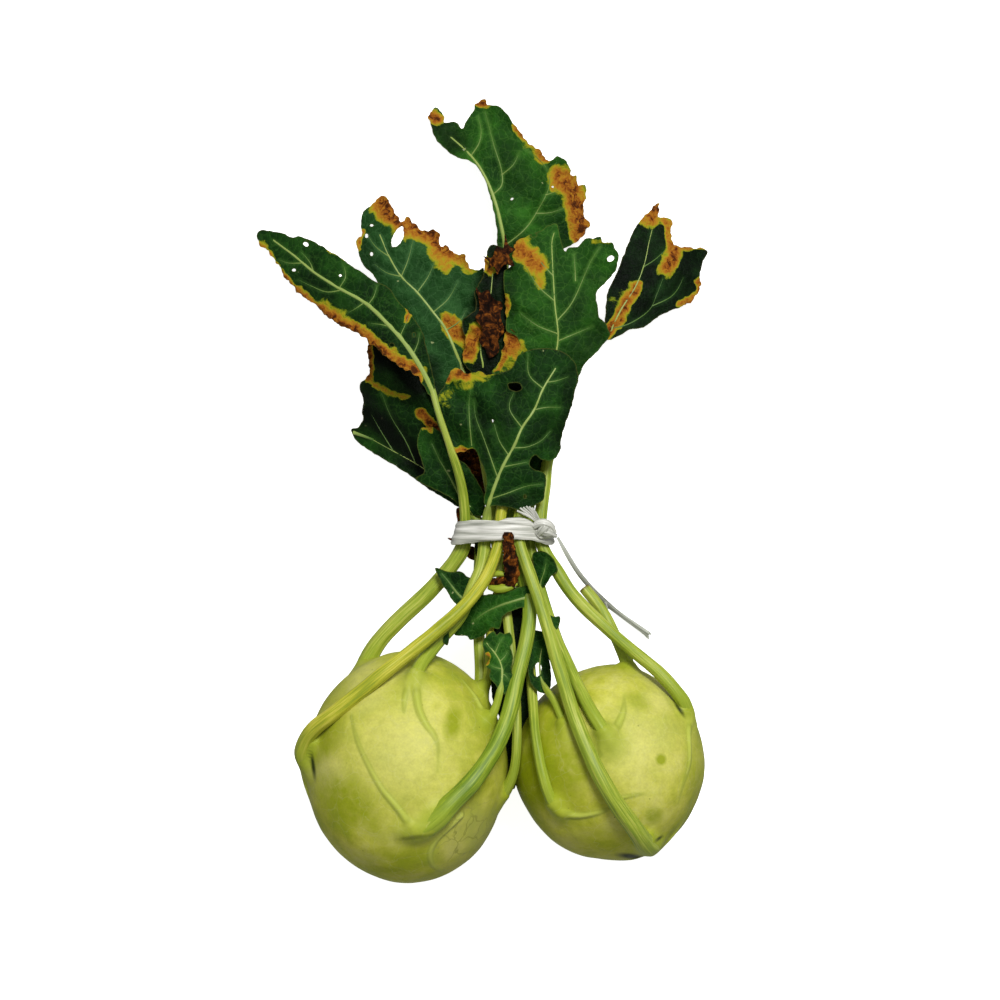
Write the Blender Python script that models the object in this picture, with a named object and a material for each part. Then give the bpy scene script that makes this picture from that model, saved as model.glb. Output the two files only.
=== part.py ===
"""A bunch of two kohlrabi lying on its side, its leaf stalks tied together by a flat plastic ribbon.

Lengths in the lists below are in millimetres and MM turns them to metres. +Z is up, the leaves
point to +Y and the swollen stems lie at -Y. A place is (x, y) or (x, y, z), and a stalk's
points are (x, y, z, radius).
"""

import math

import bmesh
import bpy
import numpy as np
from mathutils import Vector, geometry, noise

MM = 0.001
GAP = 0.3  # between pieces that touch

# Puts the middle of the bunch, without the ribbon's tail, over the origin.
CENTRE_SHIFT = (0.15, -0.12)

BLADE_THICKNESS = 0.9
BLADE_GRID = 6.0
BLADE_EDGE_STEP = 3.6
RIM_CLEARANCE = 0.55  # of the grid, between the rim and the nearest inner point
RIB_VALLEY_DEPTH = 1.0
RIB_VALLEY_WIDTH = 4.0

STALK_SIDES = 7
STALK_STEP = 9.0
RIB_SINK = 0.35  # of the rib's radius, below its blade
RIB_START = 0.92  # of the stalk's last radius

UNEVENNESS = 0.035  # of the stem's radius
HOLE_SIDES = 8
SHARP_EDGE_DEG = 50

# A ridge without heights lies on the stem's skin.
BULB_LEFT = {
    "centre": (-30.4, -110.8, 38.0),
    "half": (40.0, 46.5, 39.0),
    "root": (-30.0, -148.5, 14.0),
    "ridges": [
        {"radius": (2.6, 0.8), "route": [(-27, -75), (-26.4, -82), (-25.2, -90), (-18.4, -101), (-18, -110)]},
        {
            "radius": (3.4, 0.9),
            "route": [(-22, -133), (-32, -129.2), (-36.4, -123.6), (-45.2, -110.4), (-49.6, -100), (-55, -84)],
        },
        {"radius": (1.6, 0.8), "route": [(-18.4, -138.4), (-20.8, -146), (-15.5, -150.5)]},
        {
            "radius": (2.8, 1.0),
            "route": [(-69, -108, 43), (-69, -116, 41), (-66.5, -124.8, 42), (-59, -137.5, 44)],
        },
        {"radius": (2.0, 0.8), "route": [(2.4, -93), (-0.4, -87.6), (-3.6, -81.5)]},
        {"radius": (2.4, 0.9), "route": [(-54, -79, 22), (-61, -92, 19), (-63, -108, 16), (-58, -124, 15)]},
    ],
}
BULB_RIGHT = {
    "centre": (50.8, -108.8, 36.0),
    "half": (38.0, 39.0, 37.0),
    "root": (50.0, -140.0, 13.0),
    "ridges": [
        {"radius": (2.6, 0.8), "route": [(27.6, -126), (33.2, -128.8), (40, -130), (48, -128)]},
        {"radius": (3.0, 0.9), "route": [(67.5, -143, 42), (75, -137.5, 42), (81, -127, 45), (84, -115, 49)]},
        {"radius": (2.4, 0.8), "route": [(50, -99), (53.6, -93.2), (56.4, -83.2)]},
        {"radius": (1.8, 0.8), "route": [(50, -98), (46.8, -103), (45, -109)]},
        {"radius": (2.4, 0.8), "route": [(81, -89, 48), (82, -97), (81, -110), (77, -122)]},
        {"radius": (2.6, 0.9), "route": [(67.5, -143, 42), (59, -146.5, 37), (48, -146, 34), (38, -142.5, 33)]},
    ],
}

# The ribbon's band round the stalks.
TIE_Y = -16.5
TIE_WIDTH = 9.0
TIE_THICKNESS = 0.9

TAIL_DIAMETER = 3.0


def empty_scene():
    for obj in list(bpy.data.objects):
        bpy.data.objects.remove(obj)


def material(name, colour, roughness):
    made = bpy.data.materials.new(name)
    made.use_nodes = True
    shader = made.node_tree.nodes["Principled BSDF"]
    shader.inputs["Base Color"].default_value = (*colour, 1.0)
    shader.inputs["Roughness"].default_value = roughness
    shader.inputs["Metallic"].default_value = 0.0
    return made


def bulb_skin():
    return material("bulb_skin", (0.42, 0.50, 0.07), 0.45)


def leaf_green():
    return material("leaf_green", (0.015, 0.07, 0.012), 0.5)


def leaf_brown():
    return material("leaf_brown", (0.15, 0.06, 0.015), 0.8)


def stalk_green():
    return material("stalk_green", (0.33, 0.46, 0.06), 0.45)


def ribbon_plastic():
    return material("ribbon_plastic", (0.72, 0.73, 0.70), 0.4)


def mesh_object(name, points, faces, finish):
    """An object of this name from points in millimetres, shaded smooth but for its sharp edges."""
    mesh = bpy.data.meshes.new(name)
    mesh.from_pydata([Vector(p) * MM for p in points], [], faces)
    work = bmesh.new()
    work.from_mesh(mesh)
    bmesh.ops.recalc_face_normals(work, faces=work.faces)
    work.to_mesh(mesh)
    work.free()
    mesh.shade_smooth()
    mesh.set_sharp_from_angle(angle=math.radians(SHARP_EDGE_DEG))
    mesh.materials.append(finish)
    obj = bpy.data.objects.new(name, mesh)
    bpy.context.scene.collection.objects.link(obj)
    return obj


def bake_modifiers(obj):
    graph = bpy.context.evaluated_depsgraph_get()
    mesh = bpy.data.meshes.new_from_object(obj.evaluated_get(graph))
    obj.modifiers.clear()
    obj.data = mesh


def boolean(obj, others, operation, solver="EXACT"):
    """Joins the other objects to this one, or cuts them from it, then removes them."""
    tools = bpy.data.collections.new("boolean")
    bpy.context.scene.collection.children.link(tools)
    for other in others:
        tools.objects.link(other)
    cut = obj.modifiers.new(operation.lower(), "BOOLEAN")
    cut.operation = operation
    cut.operand_type = "COLLECTION"
    cut.collection = tools
    cut.solver = solver
    bake_modifiers(obj)
    for other in others:
        bpy.data.objects.remove(other)
    bpy.data.collections.remove(tools)
    return obj


def smooth_line(points, closed=False, samples=8):
    """A Catmull-Rom curve through the points, as a close polyline."""
    p = np.array(points, float)
    if closed:
        p = np.vstack([p[-1], p, p[0], p[1]])
    else:
        p = np.vstack([2 * p[0] - p[1], p, 2 * p[-1] - p[-2]])
    line = []
    for before, start, end, after in zip(p, p[1:], p[2:], p[3:]):
        for t in np.arange(samples) / samples:
            line.append(
                0.5
                * (
                    2 * start
                    + (end - before) * t
                    + (2 * before - 5 * start + 4 * end - after) * t**2
                    + (3 * start - before - 3 * end + after) * t**3
                )
            )
    if not closed:
        line.append(p[-2])
    return np.array(line)


def even_steps(line, step):
    """Points on the polyline about this far apart, both ends kept."""
    run = np.concatenate([[0], np.cumsum(np.linalg.norm(np.diff(line[:, :3], axis=0), axis=1))])
    count = max(2, round(run[-1] / step))
    at = np.linspace(0, run[-1], count + 1)
    return np.column_stack([np.interp(at, run, line[:, i]) for i in range(line.shape[1])])


def tube(name, route, finish, sides=STALK_SIDES, step=STALK_STEP, flatness=1.0):
    """A tapering round stalk along points of (x, y, z, radius), closed at both ends."""
    line = even_steps(smooth_line(route), step)
    points, faces = [], []
    along = np.gradient(line[:, :3], axis=0)
    side = Vector((0.0, 0.0, 1.0)).cross(Vector(along[0])).normalized()
    for place, direction in zip(line, along):
        direction = Vector(direction).normalized()
        side = (side - side.dot(direction) * direction).normalized()
        up = direction.cross(side)
        for k in range(sides):
            turn = 2 * math.pi * k / sides
            out = side * math.cos(turn) + up * math.sin(turn) * flatness
            points.append(Vector(place[:3]) + out * place[3])
    for i in range(len(line) - 1):
        for k in range(sides):
            after = (k + 1) % sides
            a, b = i * sides + k, i * sides + after
            faces.append((a, b, b + sides, a + sides))
    faces.append(tuple(range(sides)))
    last = (len(line) - 1) * sides
    faces.append(tuple(range(last, last + sides)))
    return mesh_object(name, points, faces, finish)


def relief(heights):
    """A smooth height over the plan (a thin plate spline) through points of (x, y, height)."""
    known = np.array(heights, float)
    places = known[:, :2]
    n = len(known)

    def bend(a):
        square = ((a[:, None] - places[None]) ** 2).sum(axis=2)
        return 0.5 * square * np.log(square + 1e-9)

    system = np.zeros((n + 3, n + 3))
    system[:n, :n] = bend(places)
    system[:n, n] = system[n, :n] = 1
    system[:n, n + 1 :] = places
    system[n + 1 :, :n] = places.T
    weight = np.linalg.solve(system, np.concatenate([known[:, 2], np.zeros(3)]))
    return lambda at: bend(at) @ weight[:n] + weight[n] + at @ weight[n + 1 :]


def distance_to_line(at, line):
    """How far each point of the plan is from a polyline."""
    start, end = line[:-1], line[1:]
    run = end - start
    t = ((at[:, None] - start) * run).sum(axis=2) / (run**2).sum(axis=1)
    nearest = start + np.clip(t, 0, 1)[..., None] * run
    return np.linalg.norm(at[:, None] - nearest, axis=2).min(axis=1)


def inside(at, ring):
    """Which points of the plan lie inside a closed outline."""
    x, y = at[:, :1], at[:, 1:2]
    a, b = ring, np.roll(ring, -1, axis=0)
    spans = (a[:, 1] > y) != (b[:, 1] > y)
    with np.errstate(divide="ignore", invalid="ignore"):
        crossing = (b[:, 0] - a[:, 0]) * (y - a[:, 1]) / (b[:, 1] - a[:, 1]) + a[:, 0]
    return (spans & (x < crossing)).sum(axis=1) % 2 == 1


def blade_surface(rib, heights, wave):
    """The blade's height over the plan: hand-set heights, a valley at the rib and a waved rim."""
    base = relief(heights)
    rib_line = smooth_line([p[:2] for p in rib])
    amplitude, length, phase = wave

    def height(at):
        away = distance_to_line(at, rib_line)
        valley = -RIB_VALLEY_DEPTH * np.exp(-away / RIB_VALLEY_WIDTH)
        ripple = np.sin(2 * np.pi * (at[:, 0] * 0.8 + at[:, 1]) / length + phase)
        return base(at) + valley + amplitude * np.clip(away / 15, 0, 1.3) ** 1.5 * ripple

    return height


def oval(centre, half_long, half_short, tilt_deg):
    """The outline of a hole eaten through a blade."""
    tilt = math.radians(tilt_deg)
    ring = []
    for k in range(HOLE_SIDES):
        turn = 2 * math.pi * k / HOLE_SIDES
        u, v = half_long * math.cos(turn), half_short * math.sin(turn)
        ring.append(
            (
                centre[0] + u * math.cos(tilt) - v * math.sin(tilt),
                centre[1] + u * math.sin(tilt) + v * math.cos(tilt),
            )
        )
    return np.array(ring)


def blade(name, outline, surface, finish, holes=(), grid=BLADE_GRID, edge=BLADE_EDGE_STEP):
    """A thin leaf blade: the outline filled with triangles, raised to the surface on both faces."""
    ring = smooth_line(outline, closed=True, samples=4)
    ring = even_steps(np.vstack([ring, ring[:1]]), edge)[:-1, :2]
    rings = [ring, *holes]
    low, high = ring.min(axis=0), ring.max(axis=0)
    rows = []
    for j, y in enumerate(np.arange(low[1], high[1], grid * 0.87)):
        for x in np.arange(low[0] + (j % 2) * grid / 2, high[0], grid):
            rows.append((x, y))
    fill = np.array(rows)
    keep = inside(fill, ring)
    for one in rings:
        keep &= distance_to_line(fill, np.vstack([one, one[:1]])) > RIM_CLEARANCE * grid
    for hole in holes:
        keep &= ~inside(fill, hole)
    fill = fill[keep]
    edges, start = [], 0
    for one in rings:
        n = len(one)
        edges += [(start + k, start + (k + 1) % n) for k in range(n)]
        start += n
    places = [Vector(p) for p in np.vstack([*rings, fill])]
    flat = geometry.delaunay_2d_cdt(places, edges, [], 0, 1e-4)
    plan = np.array([tuple(v) for v in flat[0]])
    triangles = np.array(flat[2])
    middle = plan[triangles].mean(axis=1)
    wanted = inside(middle, ring)
    for hole in holes:
        wanted &= ~inside(middle, hole)
    triangles = triangles[wanted]
    used, triangles = np.unique(triangles, return_inverse=True)
    plan, triangles = plan[used], triangles.reshape(-1, 3)
    under = np.maximum(surface(plan) - BLADE_THICKNESS / 2, 0)
    count = len(plan)
    points = np.vstack(
        [np.column_stack([plan, under + BLADE_THICKNESS]), np.column_stack([plan, under])]
    )
    faces = [tuple(t) for t in triangles] + [tuple(t[::-1] + count) for t in triangles]
    sides = {}
    for a, b, c in triangles:
        for one, two in ((a, b), (b, c), (c, a)):
            sides[(one, two)] = (two, one) not in sides
            if (two, one) in sides:
                sides[(two, one)] = False
    for (one, two), rim in sides.items():
        if rim:
            faces.append((one, one + count, two + count))
            faces.append((one, two + count, two))
    return mesh_object(name, points, faces, finish)


def rib_route(rib, surface, radius_end, radius_start):
    """The rib's points laid along the underside of its blade, thinning to the tip."""
    plan = np.array([p[:2] for p in rib], float)
    heights = surface(plan)
    count = len(plan)
    route = []
    for i in range(count):
        radius = radius_start + (radius_end - radius_start) * i / (count - 1)
        route.append((plan[i][0], plan[i][1], heights[i] - RIB_SINK * radius, radius))
    return route


def leaf(name, stalk, rib, surface, outline, holes=(), lobes=(), tip_radius=0.9, bulb=None):
    """One leaf as it grew: stalk and rib in one tapering run, with the blade and lobes on it."""
    route = stalk + rib_route(rib, surface, tip_radius, stalk[-1][3] * RIB_START)
    obj = tube(name, route, stalk_green())
    parts = [blade(name + "_blade", outline, surface, leaf_green(), holes), *lobes]
    boolean(obj, parts, "UNION")
    if bulb:
        boolean(obj, [swollen_stem(name + "_clear", bulb, grow=GAP)], "DIFFERENCE")
    return obj


def bulb_radius(direction, bulb):
    """How the swollen stem departs from an ellipsoid: soft, uneven bulges."""
    x, y, z = direction
    uneven = noise.noise(Vector((x * 1.3, y * 1.3, z * 1.3)) + Vector(bulb["centre"]) * 0.1)
    return 1.0 + UNEVENNESS * uneven


def bulb_top(bulb, x, y):
    """The height of the swollen stem's upper side over a place in the plan."""
    cx, cy, cz = bulb["centre"]
    a, b, c = bulb["half"]
    u, v = (x - cx) / a, (y - cy) / b
    spare = 1 - u * u - v * v
    if spare <= 0:
        return cz
    direction = Vector((u, v, math.sqrt(spare)))
    return cz + c * math.sqrt(spare) * bulb_radius(direction, bulb)


def swollen_stem(name, bulb, grow=0.0):
    """One swollen stem with the ridges that run from the leaf bases, flat where it rests."""
    centre, half = bulb["centre"], bulb["half"]
    work = bmesh.new()
    bmesh.ops.create_icosphere(work, subdivisions=4, radius=1.0)
    points = []
    for v in work.verts:
        scale = bulb_radius(v.co, bulb)
        place = [centre[i] + v.co[i] * (half[i] * scale + grow) for i in range(3)]
        place[2] = max(place[2], -grow)
        points.append(place)
    faces = [tuple(v.index for v in f.verts) for f in work.faces]
    work.free()
    obj = mesh_object(name, points, faces, bulb_skin())
    parts = []
    for i, ridge in enumerate(bulb["ridges"]):
        start, end = ridge["radius"]
        count = len(ridge["route"]) - 1
        route = []
        for k, place in enumerate(ridge["route"]):
            radius = start + (end - start) * k / count + grow
            z = place[2] if len(place) > 2 else bulb_top(bulb, *place)
            route.append((place[0], place[1], z, radius))
        parts.append(tube(f"{name}_ridge_{i}", route, bulb_skin(), sides=6, step=5.0))
    x, y, z = bulb["root"]
    root = [(x, y + 8, z + 6, 6.5 + grow), (x, y, z, 6.0 + grow), (x, y - 1.6, z - 1.2, 4.6 + grow)]
    parts.append(tube(name + "_root", root, bulb_skin(), sides=9, step=3.0))
    return boolean(obj, parts, "UNION")


def far_left_leaf():
    stalk = [
        (-50, -78, 28, 4.2),
        (-47, -70, 28.5, 3.7),
        (-42, -61, 30, 3.4),
        (-34, -52, 32, 3.3),
        (-22.8, -41.6, 33.5, 3.2),
        (-14.8, -32.8, 34.5, 3.1),
        (-8.2, -22.8, 35.5, 3.0),
        (-7, -14, 36.5, 2.4),
        (-8, -1.2, 39.5, 2.1),
        (-10, 8, 43.6, 1.8),
        (-12.8, 16.4, 46.8, 1.6),
        (-15.6, 24.8, 48.4, 1.5),
        (-18, 32, 48.6, 1.4),
    ]
    rib = [(-20, 39.6), (-23.6, 47.2), (-28, 54.4), (-34, 62.4), (-46, 74.4), (-57.6, 81.2), (-67.6, 87.6)]
    rib += [(-75.2, 94), (-84.4, 101)]
    outline = [(-90.6, 104.8), (-81.6, 104), (-76.8, 102), (-73.6, 102.4), (-67.6, 100), (-62.8, 97.2)]
    outline += [(-57.6, 94), (-53.6, 90.8), (-48.4, 87.6), (-44, 84.4), (-37.6, 81.2), (-34, 76)]
    outline += [(-29.6, 71.6), (-24.4, 64), (-22.6, 57.6), (-21, 51), (-19.2, 42), (-21.5, 38.5)]
    outline += [(-25.6, 45.2), (-32, 49.2), (-38.4, 53.6), (-46, 60), (-49.2, 62.4), (-57.6, 66.8)]
    outline += [(-64, 70.8), (-67.6, 74.8), (-72.8, 78.4), (-77.2, 82.8), (-80, 86.8), (-83.2, 92)]
    outline += [(-86.8, 96.8), (-90, 98.8)]
    heights = [(-20, 39.6, 48.5), (-28, 54.4, 47.5), (-39, 68, 44), (-57.6, 81.2, 32), (-75.2, 94, 17)]
    heights += [(-90, 103, 3), (-24, 66, 45), (-38, 80, 38), (-57, 94, 26), (-74, 102, 13)]
    heights += [(-32, 50, 46.5), (-49, 63, 38), (-66, 74, 27), (-78, 84, 16), (-86, 96, 7)]
    surface = blade_surface(rib, heights, (1.2, 21, 0.4))
    return leaf("leaf_far_left", stalk, rib, surface, outline, bulb=BULB_LEFT)


def mid_left_leaf():
    stalk = [
        (4, -124.5, 41, 2.8),
        (8, -121, 44, 2.4),
        (12, -113, 48.5, 2.0),
        (13.4, -103, 50.5, 1.9),
        (13.4, -88, 49, 1.9),
        (12, -72, 45.5, 1.9),
        (10.6, -58, 42.5, 2.0),
        (8, -38, 38, 2.1),
        (5.5, -22, 35.2, 2.2),
        (4.5, -12, 34.5, 2.2),
        (3, 0, 34, 2.2),
        (-1, 20, 33, 2.1),
        (-5, 36, 31.5, 2.0),
    ]
    rib = [(-8.8, 50.4), (-14.8, 64.4), (-20, 71.6), (-26.4, 79.6), (-32.8, 86), (-37.6, 94), (-41.5, 103)]
    outline = [(-43.6, 86), (-48.4, 91.2), (-50.4, 97.6), (-50.8, 100.8), (-48.8, 103.2), (-49.2, 107.2)]
    outline += [(-48.4, 111.6), (-46, 114.4), (-42, 117.6), (-39.2, 118.4), (-37.6, 116), (-36, 113.6)]
    outline += [(-34, 109.6), (-32.8, 108.4), (-30.4, 110), (-28, 108), (-24.4, 105.2), (-20, 104.8)]
    outline += [(-18, 103.6), (-16.8, 98.8), (-14, 98.4), (-11.6, 95.6), (-7.6, 94.8), (-6.8, 92)]
    outline += [(-5.2, 89.2), (-2, 88.8), (0.4, 89.2), (-0.8, 82.8), (-3.2, 79.6), (-2, 73.2), (-5, 64)]
    outline += [(-3, 58), (2.5, 54), (4, 46), (-6, 42), (-14, 40), (-20, 46), (-25, 54), (-31, 64), (-38, 74)]
    heights = [(-8.8, 50, 30), (-20, 71.6, 30), (-32.8, 86, 26), (-40, 100, 20), (-45, 114, 13)]
    heights += [(-49, 103, 15), (-46, 88, 20), (-28, 70, 30), (-30, 108, 20), (-14, 97, 25), (0, 88, 26)]
    heights += [(-3, 72, 28), (-22, 90, 25), (2, 50, 27.6), (-14, 42, 30), (-30, 62, 30)]
    surface = blade_surface(rib, heights, (1.0, 19, 2.0))
    holes = [oval((-34.2, 102), 4.2, 2.0, 65)]
    return leaf("leaf_mid_left", stalk, rib, surface, outline, holes, bulb=BULB_LEFT)


def lobe(name, outline, rib, heights, reach):
    """A small lobe on a leaf's stalk, with its own rib running into the stalk at reach."""
    surface = blade_surface(rib, heights, (0.4, 11, 1.0))
    parts = [blade(name, outline, surface, leaf_green(), grid=4.0, edge=3.0)]
    route = [(*reach, 1.2)] + rib_route(rib, surface, 0.6, 1.1)
    parts.append(tube(name + "_rib", route, stalk_green(), sides=5, step=6.0))
    return parts


def top_leaf():
    stalk = [
        (-27, -136, 71.5, 5.6),
        (-20, -130.5, 73, 4.8),
        (-14, -126, 74.3, 4.2),
        (-3.6, -114.8, 71.5, 3.7),
        (4, -103.6, 66.5, 3.4),
        (9.6, -91.2, 60.5, 3.2),
        (14, -73.2, 53, 3.0),
        (17.4, -59.6, 48, 2.9),
        (18.6, -47.2, 44, 2.8),
        (16.5, -35, 40.5, 2.7),
        (13, -22, 38, 2.7),
        (12, -12, 37, 2.6),
        (12.5, 0, 35, 2.5),
        (13, 20, 32, 2.5),
        (11, 40, 29, 2.4),
        (9, 55, 26.6, 2.3),
        (8.5, 70, 24, 2.2),
        (8.6, 84, 21, 2.1),
    ]
    rib = [(9.4, 95), (8, 102.8), (7.2, 106.8), (5.6, 113.6), (3.6, 120), (0.8, 126.4), (-2, 131.2)]
    rib += [(-5.2, 135.2), (-8.8, 138.8), (-13, 142.5)]
    outline = [(-22.4, 150.8), (-19.2, 154.4), (-17.2, 153.2), (-15.6, 150.8), (-15.6, 148.4), (-12.4, 148.8)]
    outline += [(-10, 148), (-8.4, 146), (-6.8, 149.2), (-3.6, 153.6), (-3.2, 156), (-0.8, 157.2)]
    outline += [(1.2, 157.2), (2, 155.6), (5.6, 155.2), (9.2, 152.4), (13.2, 146.8), (18.4, 140)]
    outline += [(22, 138), (26.4, 132.8), (30, 134.8), (34, 132.4), (35.6, 127.2), (37.6, 127.2)]
    outline += [(38.4, 123.2), (41.6, 122.8), (40.4, 112.4), (42.8, 106.8), (38, 100.8), (33.6, 98)]
    outline += [(24, 94), (16, 91), (8, 93), (5.6, 99.2), (5.6, 104.4), (4.4, 112), (2.8, 118.4)]
    outline += [(0.8, 124.8), (-2, 130), (-5.6, 132.8), (-10, 134), (-12.8, 135.6), (-16.4, 138.8)]
    outline += [(-19.6, 142.4), (-21.2, 148.4)]
    heights = [(8, 95, 18), (6, 112, 17), (1, 126, 14), (-8, 138, 9), (-20, 150, 2), (-10, 146, 4)]
    heights += [(0, 156, 3), (8, 150, 7), (14, 138, 12), (24, 134, 10), (38, 124, 3), (42, 108, 3)]
    heights += [(22, 118, 14), (20, 98, 17), (34, 99, 12)]
    surface = blade_surface(rib, heights, (1.0, 23, 1.2))
    lobe_outline = [(18.5, -38.4), (14.4, -38.4), (7.6, -40.8), (0, -41.6), (-3.2, -43.5), (-8.4, -51.6)]
    lobe_outline += [(-11.6, -57.2), (-6.4, -58), (-4.8, -59.6), (0, -58), (3.2, -54.8), (6.8, -54.8)]
    lobe_outline += [(8.8, -49.2), (18.5, -45)]
    lobe_rib = [(16, -43), (9, -45), (2, -48), (-4, -52)]
    lobe_heights = [(18, -42, 45.3), (10, -40, 46), (8, -50, 46), (0, -50, 44.3), (-2, -43, 42)]
    lobe_heights += [(-10, -56, 41.8), (-2, -58, 42.5)]
    lobes = lobe("leaf_top_lobe", lobe_outline, lobe_rib, lobe_heights, (18.4, -44, 43.5))
    return leaf("leaf_top", stalk, rib, surface, outline, lobes=lobes, bulb=BULB_LEFT)


def front_leaf():
    stalk = [
        (-28, -78, 63, 3.6),
        (-26.6, -73, 61.5, 3.0),
        (-24, -68, 58, 2.7),
        (-18.4, -61, 53, 2.6),
        (-9.6, -50.8, 48.8, 2.5),
        (-4.6, -40, 46, 2.5),
        (-0.6, -30, 43, 2.5),
        (1, -18, 40.8, 2.5),
        (1.6, -10, 41.5, 2.4),
    ]
    rib = [(2.4, -5.2), (4, 0), (8, 10), (12.4, 18), (15.6, 25.2), (20.4, 32.4), (24, 40.8), (29, 49)]
    outline = [(5.2, -6), (0.6, -5), (1.2, 5.2), (-2, 14.4), (-4.4, 16.8), (-10.8, 15.6), (-17, 24)]
    outline += [(-19, 31), (-17.5, 37), (-12.5, 42), (-6.8, 46), (-8, 49.2), (-1.2, 47.6), (2.8, 46.4)]
    outline += [(11.2, 48.8), (14.4, 54.4), (22, 57), (31.6, 55.8), (36.8, 51.2), (38, 45.6), (36.8, 40.4)]
    outline += [(36, 36), (34.4, 31), (31.6, 22.4), (30.8, 16.4), (28, 12.4), (23.6, 12.4), (20.8, 14.4)]
    outline += [(18.4, 11.2), (20.4, 8.8), (24.8, 6.8), (24.8, 1.2), (23.6, -4), (15.6, -7.6), (10, -6.4)]
    heights = [(2.4, -5, 46.5), (8, 10, 50), (15, 25, 52), (24, 41, 51), (31, 54, 47), (-1, 14, 47)]
    heights += [(-10.5, 16, 42), (-14, 26, 41.5), (-14, 38, 42), (-7, 48, 41.5), (2, 35, 47)]
    heights += [(10, 48, 45.5), (37, 46, 45), (31, 20, 45), (22, 14, 48.5), (24, 0, 46), (14, -7, 47)]
    surface = blade_surface(rib, heights, (0.8, 17, 0.0))
    holes = [oval((12.8, 41.6), 2.8, 1.7, -10)]
    lobe_outline = [(-19.2, -30.8), (-16, -31.6), (-12.4, -32.4), (-9.2, -32), (-6.4, -34), (-4.4, -36)]
    lobe_outline += [(-4.6, -42), (-8, -47), (-11.2, -44.8), (-12.8, -42.8), (-16.8, -36.4)]
    lobe_rib = [(-7.5, -43.5), (-10.5, -40.5), (-13.5, -36.5), (-16.5, -33)]
    lobe_heights = [(-19, -31, 41.5), (-12, -32, 43), (-5, -36, 45), (-7, -45, 45.5), (-14, -39, 42.5)]
    lobes = lobe("leaf_front_lobe", lobe_outline, lobe_rib, lobe_heights, (-6.3, -44.3, 46))
    return leaf("leaf_front", stalk, rib, surface, outline, holes, lobes, bulb=BULB_LEFT)


def upper_centre_leaf():
    stalk = [
        (-68, -112, 43, 4.2),
        (-71.5, -106, 47.5, 3.6),
        (-70.5, -99.5, 52.5, 3.2),
        (-66.5, -94, 57, 3.1),
        (-58.8, -86.8, 61, 3.0),
        (-42, -72, 64, 2.9),
        (-25.2, -58.4, 62, 2.8),
        (-9.2, -45.2, 57.5, 2.7),
        (0.8, -33.5, 51.5, 2.5),
        (6, -22, 45.5, 2.3),
        (6.8, -14, 43.6, 2.3),
        (7.5, -8, 42.5, 2.3),
        (11, 5, 40, 2.3),
        (16, 18, 38.5, 2.3),
        (22, 32, 38, 2.2),
    ]
    rib = [(27, 45), (30, 60.8), (28.8, 73.6), (28, 88), (27.6, 99.2), (28.5, 103.5)]
    outline = [(11.2, 90.4), (8.4, 88), (8.4, 80), (9.2, 71.6), (9.4, 64.5), (13.6, 61.6), (14.8, 56.4)]
    outline += [(12.8, 51.6), (9, 48.6), (4.2, 47.4), (10, 44), (20, 41), (30, 39), (36.8, 40.5), (38.7, 46.5)]
    outline += [(41.1, 51.3), (45.9, 56.1), (50.7, 62.1), (50, 65.2), (48.4, 68), (46.4, 69.6), (46, 73.6)]
    outline += [(45.2, 78.4), (46, 80.4), (49.2, 83.6), (52.8, 88), (54, 91.6), (54.4, 95.2)]
    outline += [(52.8, 97.2), (51.6, 100), (48, 99.6), (47.2, 102), (44, 101.2), (40.8, 101.2)]
    outline += [(38, 98), (34.4, 97.6), (32.8, 96), (31.2, 100.8), (30.4, 104.4), (29.2, 107.2)]
    outline += [(26, 106.4), (23.2, 104.4), (13.2, 99.6)]
    heights = [(27, 45, 39), (30, 61, 40), (29, 74, 39), (28, 88, 35), (28, 104, 29), (9, 86, 35)]
    heights += [(10, 66, 38), (7, 48, 36.5), (18, 76, 39), (14, 98, 31), (42, 56, 37), (48, 66, 34)]
    heights += [(46, 78, 34), (53, 93, 27), (47, 100, 27), (37, 97, 31)]
    surface = blade_surface(rib, heights, (0.9, 18, 2.4))
    holes = [oval((51.2, 93.2), 1.5, 1.1, 20)]
    return leaf("leaf_upper_centre", stalk, rib, surface, outline, holes, bulb=BULB_LEFT)


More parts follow.
